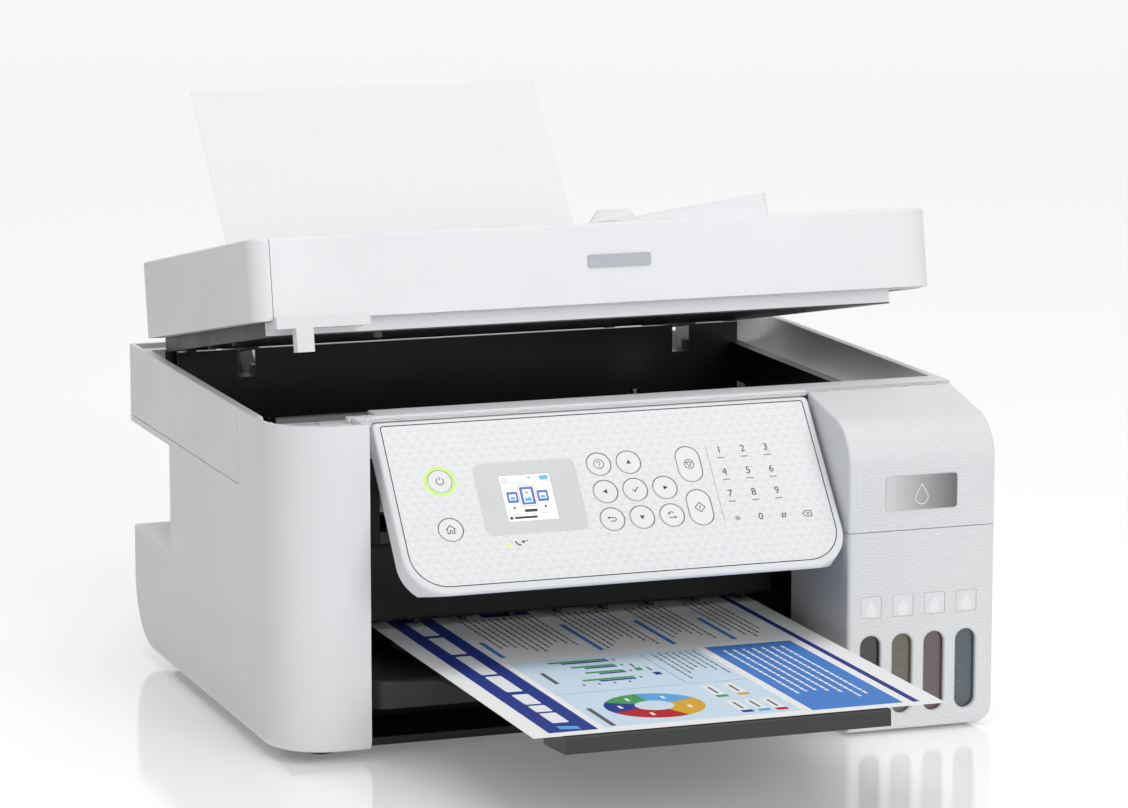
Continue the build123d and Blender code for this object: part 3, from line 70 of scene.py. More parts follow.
# ---------------------------------------------------------------- material helpers
class Nodes:
    """Short names for building one node tree."""

    def __init__(self, name):
        self.material = bpy.data.materials.new(name)
        self.material.use_nodes = True
        self.tree = self.material.node_tree
        self.shader = self.tree.nodes["Principled BSDF"]
        self.place = self.new("ShaderNodeTexCoord").outputs["Object"]

    def new(self, kind, **values):
        node = self.tree.nodes.new(kind)
        for key, value in values.items():
            setattr(node, key, value)
        return node

    def link(self, source, target):
        self.tree.links.new(source, target)

    def noise(self, scale, detail=2.0, roughness=0.5, vector=None):
        node = self.new("ShaderNodeTexNoise")
        node.inputs["Scale"].default_value = scale
        node.inputs["Detail"].default_value = detail
        node.inputs["Roughness"].default_value = roughness
        self.link(vector or self.place, node.inputs["Vector"])
        return node.outputs["Fac"]

    def math(self, operation, a, b=None):
        node = self.new("ShaderNodeMath", operation=operation)
        for socket, value in zip(node.inputs, (a, b)):
            if value is None:
                continue
            if isinstance(value, (int, float)):
                socket.default_value = value
            else:
                self.link(value, socket)
        return node.outputs[0]

    def ramp(self, source, low, high, start=0.0, end=1.0):
        node = self.new("ShaderNodeMapRange")
        node.inputs["From Min"].default_value = low
        node.inputs["From Max"].default_value = high
        node.inputs["To Min"].default_value = start
        node.inputs["To Max"].default_value = end
        self.link(source, node.inputs["Value"])
        return node.outputs["Result"]

    def mix(self, fac, a, b):
        node = self.new("ShaderNodeMix", data_type="RGBA")
        if isinstance(fac, (int, float)):
            node.inputs["Factor"].default_value = fac
        else:
            self.link(fac, node.inputs["Factor"])
        for socket, value in ((node.inputs[6], a), (node.inputs[7], b)):
            if isinstance(value, tuple):
                socket.default_value = (*value, 1.0)
            else:
                self.link(value, socket)
        return node.outputs[2]

    def bump(self, height, strength, distance, normal=None):
        node = self.new("ShaderNodeBump")
        node.inputs["Strength"].default_value = strength
        node.inputs["Distance"].default_value = distance
        self.link(height, node.inputs["Height"])
        if normal is not None:
            self.link(normal, node.inputs["Normal"])
        return node.outputs["Normal"]

    def local(self, matrix_mm):
        """Coordinates of the place in another frame, in millimetres."""
        scaled = self.new("ShaderNodeVectorMath", operation="SCALE")
        scaled.inputs["Scale"].default_value = 1000.0
        self.link(self.place, scaled.inputs[0])
        inverse = matrix_mm.inverted()
        axes = []
        for row in range(3):
            dot = self.new("ShaderNodeVectorMath", operation="DOT_PRODUCT")
            dot.inputs[1].default_value = tuple(inverse[row][:3])
            self.link(scaled.outputs[0], dot.inputs[0])
            axes.append(self.math("ADD", dot.outputs["Value"], inverse[row][3]))
        return axes

    def set(self, name, value):
        socket = self.shader.inputs[name]
        if isinstance(value, (int, float)):
            socket.default_value = value
        elif isinstance(value, tuple):
            socket.default_value = (*value, 1.0) if len(value) == 3 else value
        else:
            self.link(value, socket)


def tone(colour, factor):
    return tuple(min(1.0, channel * factor) for channel in colour)


def moulded(name, colour, rough, grain=2600.0, depth=0.00002, spread=0.03, strength=0.35):
    """Moulded plastic: a fine spark-eroded grain, faint cloudiness and slightly uneven gloss."""
    n = Nodes(name)
    cloud = n.noise(9.0, 3.0)
    n.set("Base Color", n.mix(n.ramp(cloud, 0.3, 0.7), tone(colour, 1 - spread), tone(colour, 1 + spread)))
    n.set("Roughness", n.ramp(n.noise(60.0, 3.0), 0.3, 0.7, rough - 0.04, rough + 0.05))
    n.set("Normal", n.bump(n.noise(grain, 2.0), strength, depth))
    n.set("IOR", 1.46)
    return n


def dashes(n, across, along):
    """Height of rows of short moulded dashes that drift up and down in waves."""
    drift = n.math("MULTIPLY", n.math("SINE", n.math("MULTIPLY", across, 2 * math.pi / 15.0)), 0.45)
    row = n.math("DIVIDE", n.math("ADD", along, drift), 1.9)
    groove = n.ramp(n.math("ABSOLUTE", n.math("SUBTRACT", n.math("FRACT", row), 0.5)), 0.08, 0.30, 1.0, 0.0)
    offset = n.math("MULTIPLY", n.math("FLOORED_MODULO", n.math("FLOOR", row), 2.0), 0.5)
    place = n.math("FRACT", n.math("ADD", n.math("DIVIDE", across, 4.9), offset))
    dash = n.ramp(n.math("ABSOLUTE", n.math("SUBTRACT", place, 0.5)), 0.36, 0.43, 1.0, 0.0)
    return n.math("MULTIPLY", groove, dash)


def inside(n, value, low, high, soft=0.15):
    """1 where value is between low and high, falling to 0 outside."""
    return n.math("MULTIPLY", n.ramp(value, low - soft, low + soft), n.ramp(value, high + soft, high - soft))


WHITE = (0.86, 0.87, 0.885)
BLACK = (0.012, 0.012, 0.013)
CASE_BLACK = (0.02, 0.02, 0.021)


def textured_front(name, x_range, line_inset=4.2):
    """White moulding whose front carries the wavy dashes inside a plain margin."""
    n = moulded(name, WHITE, 0.42)
    x, y, z = n.local(MACHINE)
    climb = n.math("ADD", z, y)
    pattern = dashes(n, x, climb)
    margin = inside(n, x, x_range[0] + line_inset, x_range[1] - line_inset)
    normal_x = n.new("ShaderNodeSeparateXYZ")
    geometry = n.new("ShaderNodeNewGeometry")
    n.link(geometry.outputs["Normal"], normal_x.inputs[0])
    facing = n.ramp(n.math("ABSOLUTE", normal_x.outputs[0]), 0.5, 0.4)
    mask = n.math("MULTIPLY", margin, facing)
    height = n.math("MULTIPLY", pattern, mask)
    grain = n.bump(n.noise(2600.0, 2.0), 0.25, 0.00002)
    n.set("Normal", n.bump(height, 0.9, 0.00015, grain))
    cloud = n.noise(9.0, 3.0)
    base = n.mix(n.ramp(cloud, 0.3, 0.7), tone(WHITE, 0.985), tone(WHITE, 1.01))
    # Painted highlight: the colour follows the relief height, so the raised dashes are painted lighter than the rest
    # of the moulding, which is toned to 0.90 of the white.
    n.set("Base Color", n.mix(n.math("MULTIPLY", height, 0.5), tone(WHITE, 0.90), base))
    return n.material


def lattice_panel():
    """The control panel's printed sheet: pale grey triangle lattice on a satin white ground."""
    n = moulded("panel_print", (0.865, 0.87, 0.88), 0.34)
    x, q, _ = n.local(PANEL)
    lines = None
    for angle, pitch, wander, shift in ((0, 4.1, 0.12, 0.5), (55.2, 4.68, 0.1, 0), (-55.2, 4.68, 0.1, 0)):
        c, s = math.cos(math.radians(angle)), math.sin(math.radians(angle))
        along = n.math("ADD", n.math("MULTIPLY", q, c), n.math("MULTIPLY", x, s))
        wave = n.math("MULTIPLY", n.math("SINE", n.math("MULTIPLY", along, 0.61)), wander)
        place = n.math("ADD", n.math("DIVIDE", n.math("ADD", along, wave), pitch), shift)
        part = n.math("ABSOLUTE", n.math("SUBTRACT", n.math("FRACT", place), 0.5))
        line = n.ramp(part, 0.09 / pitch, 0.30 / pitch, 1.0, 0.0)
        lines = line if lines is None else n.math("MAXIMUM", lines, line)
    n.set("Base Color", n.mix(n.math("MULTIPLY", lines, 0.55), (0.865, 0.87, 0.88), (0.66, 0.67, 0.68)))
    n.set("Coat Weight", 0.15)
    n.set("Coat Roughness", 0.25)
    return n.material


def glossy(name, colour, rough=0.12, coat=0.0, spread=0.02):
    n = Nodes(name)
    cloud = n.noise(14.0, 2.0)
    n.set("Base Color", n.mix(n.ramp(cloud, 0.3, 0.7), tone(colour, 1 - spread), tone(colour, 1 + spread)))
    n.set("Roughness", n.ramp(n.noise(90.0, 3.0), 0.3, 0.7, rough * 0.8, rough * 1.25))
    n.set("Coat Weight", coat)
    n.set("Normal", n.bump(n.noise(700.0, 2.0), 0.06, 0.00002))
    return n


def metal(name, colour, rough, stretch=(1.0, 40.0, 40.0), depth=0.00002):
    """Rolled or turned metal with fine marks along X."""
    n = Nodes(name)
    mapping = n.new("ShaderNodeMapping")
    mapping.inputs["Scale"].default_value = stretch
    n.link(n.place, mapping.inputs["Vector"])
    marks = n.noise(60.0, 4.0, 0.6, mapping.outputs["Vector"])
    n.set("Metallic", 1.0)
    n.set("Base Color", n.mix(n.ramp(marks, 0.3, 0.7), tone(colour, 0.86), tone(colour, 1.06)))
    n.set("Roughness", n.ramp(marks, 0.3, 0.7, rough - 0.06, rough + 0.08))
    n.set("Normal", n.bump(marks, 0.2, depth))
    return n.material


def soft_rubber(name, colour, rough=0.62, spread=0.12):
    n = Nodes(name)
    cloud = n.noise(40.0, 3.0)
    n.set("Base Color", n.mix(n.ramp(cloud, 0.3, 0.7), tone(colour, 1 - spread), tone(colour, 1 + spread)))
    n.set("Roughness", n.ramp(n.noise(120.0, 3.0), 0.3, 0.7, rough - 0.07, rough + 0.07))
    n.set("Normal", n.bump(n.noise(1800.0, 3.0), 0.3, 0.00003))
    n.set("Specular IOR Level", 0.35)
    return n.material


def paper_sheet(name, colour=(0.93, 0.93, 0.925)):
    """Office paper: fibrous tooth and a faint unevenness."""
    n = Nodes(name)
    fibre = n.noise(900.0, 5.0, 0.65)
    n.set("Base Color", n.mix(n.ramp(fibre, 0.35, 0.65), tone(colour, 0.985), tone(colour, 1.01)))
    n.set("Roughness", n.ramp(fibre, 0.3, 0.7, 0.72, 0.82))
    n.set("Normal", n.bump(fibre, 0.25, 0.00002))
    n.set("Specular IOR Level", 0.25)
    return n.material


def printed(name, colour, rough=0.7):
    """Ink on paper or a pad-printed mark."""
    n = Nodes(name)
    fleck = n.noise(1300.0, 4.0, 0.6)
    n.set("Base Color", n.mix(n.ramp(fleck, 0.35, 0.65), tone(colour, 0.94), tone(colour, 1.05)))
    n.set("Roughness", n.ramp(fleck, 0.3, 0.7, rough - 0.05, rough + 0.05))
    n.set("Specular IOR Level", 0.25)
    return n.material


def glowing(name, colour, strength):
    n = Nodes(name)
    fleck = n.noise(300.0, 2.0)
    n.set("Base Color", n.mix(n.ramp(fleck, 0.3, 0.7), tone(colour, 0.96), tone(colour, 1.02)))
    n.set("Emission Color", colour)
    n.set("Emission Strength", strength)
    n.set("Roughness", 0.3)
    return n.material


# ---------------------------------------------------------------- materials of the CAD pieces
shell_white = moulded("shell_white", WHITE, 0.42).material
grained_black = moulded("grained_black", (0.016, 0.016, 0.017), 0.46, 1500.0, 0.00004, 0.12).material
tray_black = moulded("tray_black", (0.035, 0.035, 0.037), 0.42, 1200.0, 0.00004, 0.1).material
mechanism_black = moulded("mechanism_black", (0.01, 0.01, 0.011), 0.4, 900.0, 0.00003, 0.15).material


def opening_material():
    """The frame round the opening: black inside the seat, white on its outer lip."""
    n = moulded("opening_black", BLACK, 0.30, 1300.0, 0.00003, 0.12)
    x, _, z = n.local(MACHINE)
    inner = n.math("MULTIPLY", inside(n, x, -174.5, 162.6), n.ramp(z, 172.4, 172.3))
    n.set("Base Color", n.mix(inner, WHITE, BLACK))
    n.set("Roughness", n.ramp(inner, 0.0, 1.0, 0.42, 0.3))
    return n.material


def scanner_case_material():
    """Scanner case: white lip, grip and upper shell, black underside and hinge arms."""
    n = moulded("scanner_case", CASE_BLACK, 0.4, 1500.0, 0.00004, 0.1)
    x, y, z = n.local(LID)
    front = n.ramp(y, 82.3, 82.1)
    upper = n.ramp(z, 165.9, 166.1)
    grip = n.math("MULTIPLY", n.ramp(x, -127.4, -127.6), n.ramp(y, 75.9, 75.7))
    shell = n.math("MULTIPLY", n.ramp(z, 172.9, 173.1), n.ramp(y, 278.1, 277.9))
    white = n.math("MAXIMUM", n.math("MAXIMUM", grip, shell), n.math("MULTIPLY", front, upper))
    n.set("Base Color", n.mix(white, CASE_BLACK, (0.80, 0.81, 0.82)))
    return n.material


def tank_material():
    """Cloudy polypropylene tanks, each tinted by its ink up to the fill level."""
    n = Nodes("tank_body")
    x, _, z = n.local(MACHINE)
    colour = (0.70, 0.72, 0.73)
    inks = ((118.4, (0.022, 0.022, 0.023)), (136.2, (0.135, 0.115, 0.085)),
            (154.0, (0.125, 0.078, 0.098)), (171.8, (0.070, 0.098, 0.122)))
    filled = n.ramp(z, 80.2, 79.8)
    result = None
    for centre, ink in inks:
        here = n.math("MULTIPLY", inside(n, x, centre - 8.9, centre + 8.9, 0.05), filled)
        result = n.mix(here, colour if result is None else result, ink)
    n.set("Base Color", result)
    n.set("Roughness", 0.28)
    n.set("Coat Weight", 0.4)
    n.set("Coat Roughness", 0.15)
    n.set("Normal", n.bump(n.noise(300.0, 2.0), 0.1, 0.00004))
    return n.material


def glass_material():
    n = Nodes("platen_glass")
    n.set("Base Color", n.mix(n.ramp(n.noise(6.0), 0.3, 0.7), (0.90, 0.95, 0.94), (0.95, 0.98, 0.97)))
    n.set("Roughness", 0.02)
    n.set("Transmission Weight", 1.0)
    n.set("IOR", 1.5)
    return n.material


def board_material():
    n = glossy("circuit_board", (0.02, 0.13, 0.06), 0.25)
    x, y, z = n.local(MACHINE)
    chip = n.math("MULTIPLY", n.ramp(x, 166.7, 166.8), 1.0)
    trace = n.ramp(n.math("SINE", n.math("MULTIPLY", n.math("ADD", y, z), 2.4)), 0.7, 0.9)
    n.set("Base Color", n.mix(chip, n.mix(trace, (0.02, 0.13, 0.06), (0.03, 0.20, 0.10)), (0.02, 0.02, 0.02)))
    return n.material


def paint(names, material):
    """Gives these CAD nodes one material."""
    for name in names.split():
        data = NODES[name].data
        data.materials.clear()
        data.materials.append(material)


steel = metal("zinc_steel", (0.62, 0.63, 0.65), 0.32)
roller_rubber = soft_rubber("roller_rubber", (0.03, 0.03, 0.032))
paint("left_side_cover upper_left_panel rear_housing document_cover adf_side_cover adf_cover adf_input_tray",
      shell_white)
paint("panel_frame", moulded("panel_shell", (0.80, 0.81, 0.825), 0.38).material)
paint("front_rim", textured_front("rim_white", (-200, 200)))
paint("tank_lower_cover", textured_front("tank_cover_white", (105.5, 187.5)))
paint("tank_lid", textured_front("tank_lid_white", (105.5, 187.5)))
paint("opening_frame", opening_material())
paint("adf_edge_guide", moulded("guide_white", (0.83, 0.84, 0.85), 0.4).material)
paint("base_chassis rear_feed_housing paper_support edge_guide", grained_black)
paint("platen exit_roller_holder maintenance_station carriage cis_carriage", mechanism_black)
paint("scanner_case", scanner_case_material())
paint("output_tray tray_extension", tray_black)
paint("ink_tank_unit", tank_material())
for ink, colour in (("black", (0.02, 0.02, 0.02)), ("yellow", (0.80, 0.62, 0.03)),
                    ("magenta", (0.62, 0.04, 0.24)), ("cyan", (0.02, 0.30, 0.60))):
    paint("tank_cap_" + ink, soft_rubber("cap_" + ink, colour, 0.45))
paint("rubber_feet", soft_rubber("foot_rubber", (0.025, 0.025, 0.025)))
paint("main_frame", steel)
paint("case_screws", metal("screw_steel", (0.5, 0.5, 0.52), 0.3))
paint("feed_roller exit_roller pick_roller adf_roller", roller_rubber)
paint("timing_belt", soft_rubber("belt_rubber", (0.02, 0.02, 0.02)))
paint("drive_pulley idler_pulley", glossy("acetal", (0.80, 0.79, 0.74), 0.35).material)
paint("carriage_motor", metal("motor_can", (0.6, 0.6, 0.62), 0.28))
paint("main_board", board_material())
paint("power_supply", moulded("supply_black", (0.02, 0.02, 0.021), 0.5, 1500.0, 0.00003, 0.1).material)
paint("scanner_glass", glass_material())
paint("panel_overlay", lattice_panel())
paint("lcd_display", glossy("display_frame", (0.70, 0.71, 0.72), 0.3).material)
key_white = moulded("key_white", (0.87, 0.875, 0.885), 0.36).material
paint(" ".join(name for name in NODES if name.startswith("button_")), key_white)
blank_white = paper_sheet("blank_white")
paint("printed_sheet blank_paper", blank_white)
# ---------------------------------------------------------------- mesh helpers, in millimetres of a frame
def emit(name, verts, faces, basis, material, body, smooth=False, slot=None):
    """A mesh piece from points in a frame, riding on a body."""
    data = bpy.data.meshes.new(name)
    data.from_pydata([(basis @ Vector(v)) * 0.001 for v in verts], [], faces)
    data.materials.append(material)
    bm = bmesh.new()
    bm.from_mesh(data)
    bmesh.ops.recalc_face_normals(bm, faces=bm.faces)
    bm.to_mesh(data)
    bm.free()
    for polygon in data.polygons:
        polygon.use_smooth = smooth
    piece = bpy.data.objects.new(name, data)
    bpy.context.scene.collection.objects.link(piece)
    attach(piece, body)
    return piece


def solid(outlines, low, high):
    """Vertices and faces of prisms standing on closed outlines."""
    verts, faces = [], []
    for outline in outlines:
        start, count = len(verts), len(outline)
        verts += [(x, y, low) for x, y in outline] + [(x, y, high) for x, y in outline]
        faces.append(tuple(start + k for k in reversed(range(count))))
        faces.append(tuple(start + count + k for k in range(count)))
        for k in range(count):
            after = (k + 1) % count
            faces.append((start + k, start + after, start + count + after, start + count + k))
    return verts, faces


def ringed(outer, inner, low, high):
    """Vertices and faces of a ring between two outlines with equal numbers of points."""
    count = len(outer)
    verts = [(x, y, z) for z in (low, high) for loop in (outer, inner) for x, y in loop]
    faces = []
    for k in range(count):
        after = (k + 1) % count
        quads = ((0, 1, 1, 0), (1, 3, 3, 1), (3, 2, 2, 3), (2, 0, 0, 2))
        for a, b, _, _ in quads:
            faces.append((a * count + k, a * count + after, b * count + after, b * count + k))
    return verts, faces


def round_rect(x0, y0, x1, y1, radius, steps=6):
    """Outline of a rectangle whose corner radii are radius, or one each from the lower left anticlockwise."""
    radii = radius if isinstance(radius, tuple) else (radius,) * 4
    centres = ((x0, y0, 180), (x1, y0, 270), (x1, y1, 0), (x0, y1, 90))
    points = []
    for (x, y, start), r in zip(centres, radii):
        cx = x + r if x == x0 else x - r
        cy = y + r if y == y0 else y - r
        for k in range(steps + 1):
            a = math.radians(start + 90 * k / steps)
            points.append((cx + r * math.cos(a), cy + r * math.sin(a)))
    return points


def circle(x, y, radius, count=48, start=0.0):
    return [(x + radius * math.cos(start + 2 * math.pi * k / count),
             y + radius * math.sin(start + 2 * math.pi * k / count)) for k in range(count)]


def stroke(points, width, closed=False):
    """Outline of a line drawn with a flat pen, mitred at its corners."""
    count = len(points)
    left, right = [], []
    for k in range(count):
        here = Vector(points[k])
        before = Vector(points[k - 1]) if closed or k > 0 else None
        after = Vector(points[(k + 1) % count]) if closed or k < count - 1 else None
        into = (here - before).normalized() if before is not None else (after - here).normalized()
        away = (after - here).normalized() if after is not None else into
        middle = (into + away).normalized()
        normal = Vector((-middle.y, middle.x))
        reach = width / 2 / max(0.35, normal.dot(Vector((-into.y, into.x))))
        left.append(tuple(here + normal * reach))
        right.append(tuple(here - normal * reach))
    return left, right


def draw(name, lines, width, low, high, basis, material, body, closed=False):
    """Printed or raised lines as one mesh piece."""
    verts, faces = [], []
    for points in lines:
        left, right = stroke(points, width, closed)
        if closed:
            v, f = ringed(left, right, low, high)
        else:
            v, f = solid([left + right[::-1]], low, high)
        faces += [tuple(i + len(verts) for i in face) for face in f]
        verts += v
    return emit(name, verts, faces, basis, material, body)


def patch(name, outlines, low, high, basis, material, body):
    """Printed or raised areas as one mesh piece."""
    verts, faces = solid(outlines, low, high)
    return emit(name, verts, faces, basis, material, body)


def arc(x, y, radius, start, end, count=24):
    turns = [math.radians(start + (end - start) * k / count) for k in range(count + 1)]
    return [(x + radius * math.cos(turn), y + radius * math.sin(turn)) for turn in turns]


def box_outline(x0, y0, x1, y1):
    return [(x0, y0), (x1, y0), (x1, y1), (x0, y1)]


def characters(name, text, x, y, size, low, basis, material, body):
    """Printed numerals, centred on a point."""
    curve = bpy.data.curves.new(name, "FONT")
    curve.body = text
    curve.size = size
    curve.align_x = "CENTER"
    curve.align_y = "CENTER"
    curve.extrude = 0.02
    curve.resolution_u = 4
    maker = bpy.data.objects.new(name + "_maker", curve)
    data = bpy.data.meshes.new_from_object(maker)
    verts = [(x + v.co.x, y + v.co.y, low + 0.02 + v.co.z) for v in data.vertices]
    faces = [tuple(p.vertices) for p in data.polygons]
    bpy.data.objects.remove(maker)
    bpy.data.curves.remove(curve)
    bpy.data.meshes.remove(data)
    return emit(name, verts, faces, basis, material, body)


# ---------------------------------------------------------------- control panel print
ink_dark = printed("panel_ink", (0.055, 0.055, 0.06), 0.45)
ink_line = printed("panel_line", (0.12, 0.12, 0.125), 0.45)
ink_grey = printed("panel_grey", (0.30, 0.30, 0.31), 0.5)
PRINT = (0.0, 0.03)
overlay_edge = round_rect(-128.6, -92.1, 99.9, -0.4, (18.6, 18.6, 1.6, 1.6), 10)
draw("panel_outline", [overlay_edge], 0.55, *PRINT, PANEL, ink_dark, "panel", closed=True)
round_keys = {"power": (-104.0, -33.4), "home": (-104.0, -60.8), "help": (-18.7, -29.6), "up": (-2.6, -29.6),
              "left": (-18.6, -45.4), "ok": (-2.6, -45.4), "right": (13.5, -45.4), "back": (-18.5, -61.2),
              "down": (-2.5, -61.2), "swap": (13.6, -61.3)}
oval_keys = {"stop": (29.5, -33.0), "start": (29.5, -58.0)}


def oval(x, y, radius, height, steps=16):
    half = height / 2 - radius
    return arc(x, y + half, radius, 0, 180, steps) + arc(x, y - half, radius, 180, 360, steps)


rims = [circle(x, y, 6.62) for key, (x, y) in round_keys.items() if key != "power"]
draw("key_outlines", rims, 0.22, *PRINT, PANEL, ink_line, "panel", closed=True)
draw("oval_outlines", [oval(x, y, 6.62, 20.64) for x, y in oval_keys.values()], 0.22, *PRINT, PANEL, ink_line,
     "panel", closed=True)
draw("power_ring", [circle(*round_keys["power"], 7.45, 64)], 1.7, 0.0, 0.05, PANEL,
     glowing("power_light", (0.52, 0.80, 0.18), 0.30), "panel", closed=True)
draw("panel_divider", [[(40.8, -23.4), (40.8, -66.9)]], 0.26, *PRINT, PANEL, ink_grey, "panel")

KEY_TOP = (0.1, 0.13)


def icon(key, lines=(), closed_lines=(), areas=(), width=0.42):
    """The mark printed on one key, in millimetres from the key's centre."""
    x, y = {**round_keys, **oval_keys}[key]
    body = "key_" + key

    def moved(shapes):
        return [[(x + px, y + py) for px, py in shape] for shape in shapes]

    if lines:
        draw(f"mark_{key}_lines", moved(lines), width, *KEY_TOP, PANEL, ink_dark, body)
    if closed_lines:
        draw(f"mark_{key}_outline", moved(closed_lines), width, *KEY_TOP, PANEL, ink_dark, body, closed=True)
    if areas:
        patch(f"mark_{key}_fill", moved(areas), *KEY_TOP, PANEL, ink_dark, body)


def triangle(angle, size=1.5):
    return [(size * math.cos(math.radians(angle + turn)), size * math.sin(math.radians(angle + turn)))
            for turn in (0, 125, 235)]


icon("power", lines=[arc(0, 0, 1.9, 125, 415), [(0, 0.7), (0, 2.6)]])
icon("home", lines=[[(-2.6, 0.1), (0, 2.4), (2.6, 0.1)], [(-1.8, 0.6), (-1.8, -2.1), (-0.6, -2.1), (-0.6, -0.6),
                    (0.6, -0.6), (0.6, -2.1), (1.8, -2.1), (1.8, 0.6)]])
icon("help", lines=[arc(0, 0.55, 0.85, 170, -60) + [(0, -0.55)]], closed_lines=[circle(0, 0, 2.6)],
     areas=[circle(0, -1.35, 0.3, 16)], width=0.36)
icon("up", areas=[triangle(90)])
icon("down", areas=[triangle(270)])
icon("left", areas=[triangle(180)])
icon("right", areas=[triangle(0)])
icon("ok", lines=[[(-1.5, 0.1), (-0.4, -1.1), (1.7, 1.4)]], width=0.5)
icon("back", lines=[[(-1.6, 0.8)] + arc(0.9, -0.2, 1.0, 90, -90) + [(-1.0, -1.2)]],
     areas=[[(-2.6, 0.8), (-1.3, 1.6), (-1.3, 0.0)]])
icon("swap", lines=[arc(-0.2, 0.3, 1.5, 30, 150), [(-1.9, -1.3), (1.4, -1.3)]],
     areas=[[(-2.4, 0.9), (-0.9, 1.7), (-1.1, 0.3)], [(2.5, -1.3), (1.2, -0.6), (1.2, -2.0)]])
icon("stop", closed_lines=[circle(0, 0, 2.5), [(-1.5, 1.0), (1.5, 1.0), (0, -1.6)]], width=0.4)
icon("start", closed_lines=[[(0, 2.7), (2.7, 0), (0, -2.7), (-2.7, 0)]],
     lines=[[(0.5, 1.2), (-0.5, -1.2)]], width=0.42)

digit_x, digit_q = (47.6, 60.5, 73.2), (-26.1, -38.8, -51.4)
for row, q in enumerate(digit_q):
    for column, x in enumerate(digit_x):
        number = str(3 * row + column + 1)
        characters("digit_" + number, number, x, q, 5.6, 0.0, PANEL, ink_dark, "panel")
        rule = [[(x - 2.0, q - 4.4), (x + 2.0, q - 4.4)]]
        draw(f"digit_rule_{number}", rule, 0.6, *PRINT, PANEL, ink_grey, "panel")
characters("digit_star", "*", 48.2, -67.0, 6.6, 0.0, PANEL, ink_dark, "panel")
characters("digit_0", "0", 60.9, -65.7, 5.6, 0.0, PANEL, ink_dark, "panel")
characters("digit_hash", "#", 73.5, -65.7, 5.2, 0.0, PANEL, ink_dark, "panel")
draw("digit_clear", [[(88.6, -64.2), (85.4, -64.2), (83.8, -65.8), (85.4, -67.4), (88.6, -67.4)]], 0.42, *PRINT,
     PANEL, ink_dark, "panel", closed=True)
draw("digit_clear_cross", [[(85.9, -65.1), (87.5, -66.5)], [(85.9, -66.5), (87.5, -65.1)]], 0.34, *PRINT, PANEL,
     ink_dark, "panel")

# Display: grey surround and the picture on the screen
surround_grey = moulded("display_surround", (0.70, 0.71, 0.72), 0.4, 2600.0, 0.00001).material
outer = round_rect(-86.0, -66.0, -31.5, -25.0, 4.2, 8)
inner = round_rect(-72.8, -58.6, -45.9, -32.3, 0.15, 8)
emit("display_surround", *ringed(outer, inner, 0.0, 0.02), PANEL, surround_grey, "panel")
SCREEN = (-0.5, -0.46)
ON_SCREEN = (-0.46, -0.43)
OVER_SCREEN = (-0.43, -0.41)
screen_white = glowing("screen_white", (0.93, 0.95, 0.98), 0.28)
screen_blue = glowing("screen_blue", (0.08, 0.17, 0.50), 0.22)
screen_sky = glowing("screen_sky", (0.10, 0.45, 0.80), 0.25)
screen_orange = glowing("screen_orange", (0.85, 0.38, 0.12), 0.2)
screen_ink = glowing("screen_ink", (0.03, 0.03, 0.035), 0.02)
screen_line = glowing("screen_line", (0.22, 0.30, 0.48), 0.15)
patch("screen_ground", [box_outline(-72.6, -58.4, -46.1, -32.5)], *SCREEN, PANEL, screen_white, "panel")
draw("screen_rules", [[(-72.4, -36.8), (-46.3, -36.8)], [(-72.4, -54.6), (-46.3, -54.6)]], 0.22, *ON_SCREEN, PANEL,
     screen_line, "panel")
draw("screen_home", [[(-71.9, -34.9), (-70.6, -33.7), (-69.3, -34.9)], [(-71.4, -34.7), (-71.4, -36.0), (-69.8, -36.0),
     (-69.8, -34.7)]], 0.24, *ON_SCREEN, PANEL, screen_ink, "panel")
patch("screen_badges", [round_rect(-51.8, -35.9, -46.9, -33.5, 0.9), *[
    [(-57.2 - r, -33.4 - (1.6 - r)), (-57.2 + r, -33.4 - (1.6 - r)), (-57.2 + r * 0.7, -33.9 - (1.6 - r)),
     (-57.2 - r * 0.7, -33.9 - (1.6 - r))] for r in (1.3, 0.8)]], *ON_SCREEN, PANEL, screen_sky, "panel")
tiles = ((-70.8, -48.0, -65.0, -41.8, 0.5), (-54.8, -48.0, -49.0, -41.8, 0.5),
         (-63.6, -49.4, -56.2, -39.4, 0.6))
patch("screen_tiles", [round_rect(*tile) for tile in tiles], *ON_SCREEN, PANEL, screen_blue, "panel")
draw("screen_choice", [round_rect(-64.4, -50.2, -55.4, -38.6, 0.5)], 0.45, *ON_SCREEN, PANEL, screen_orange, "panel",
     closed=True)
patch("screen_sheets", [round_rect(-62.2, -48.2, -57.6, -40.8, 0.3), round_rect(-69.7, -46.6, -66.1, -43.2, 0.3),
                        round_rect(-53.7, -46.6, -50.1, -43.2, 0.3)], *OVER_SCREEN, PANEL, screen_white, "panel")
TOP_SCREEN = (-0.41, -0.39)
patch("screen_sun", [circle(-60.1, -42.7, 0.9, 20)], *TOP_SCREEN, PANEL, screen_orange, "panel")
patch("screen_hill", [[(-61.8, -47.6), (-58.0, -47.6), (-58.0, -46.2), (-59.3, -44.9), (-60.3, -45.9), (-61.0, -45.2),
                       (-61.8, -46.0)], box_outline(-69.2, -46.2, -66.6, -44.6), box_outline(-53.2, -46.2, -50.6, -44.6)],
      *TOP_SCREEN, PANEL, screen_sky, "panel")
patch("screen_arrows", [[(-69.2, -50.9), (-67.6, -50.0), (-67.6, -51.8)], [(-50.6, -50.9), (-52.2, -50.0),
      (-52.2, -51.8)], round_rect(-63.2, -53.6, -56.4, -52.0, 0.4), circle(-70.9, -56.5, 0.9, 20),
      round_rect(-69.2, -57.1, -57.2, -55.9, 0.3)], *ON_SCREEN, PANEL, screen_ink, "panel")
patch("line_light", [circle(-75.7, -71.7, 1.15, 24)], 0.0, 0.06, PANEL, glowing("line_light", (0.55, 0.85, 0.12), 0.5),
      "panel")
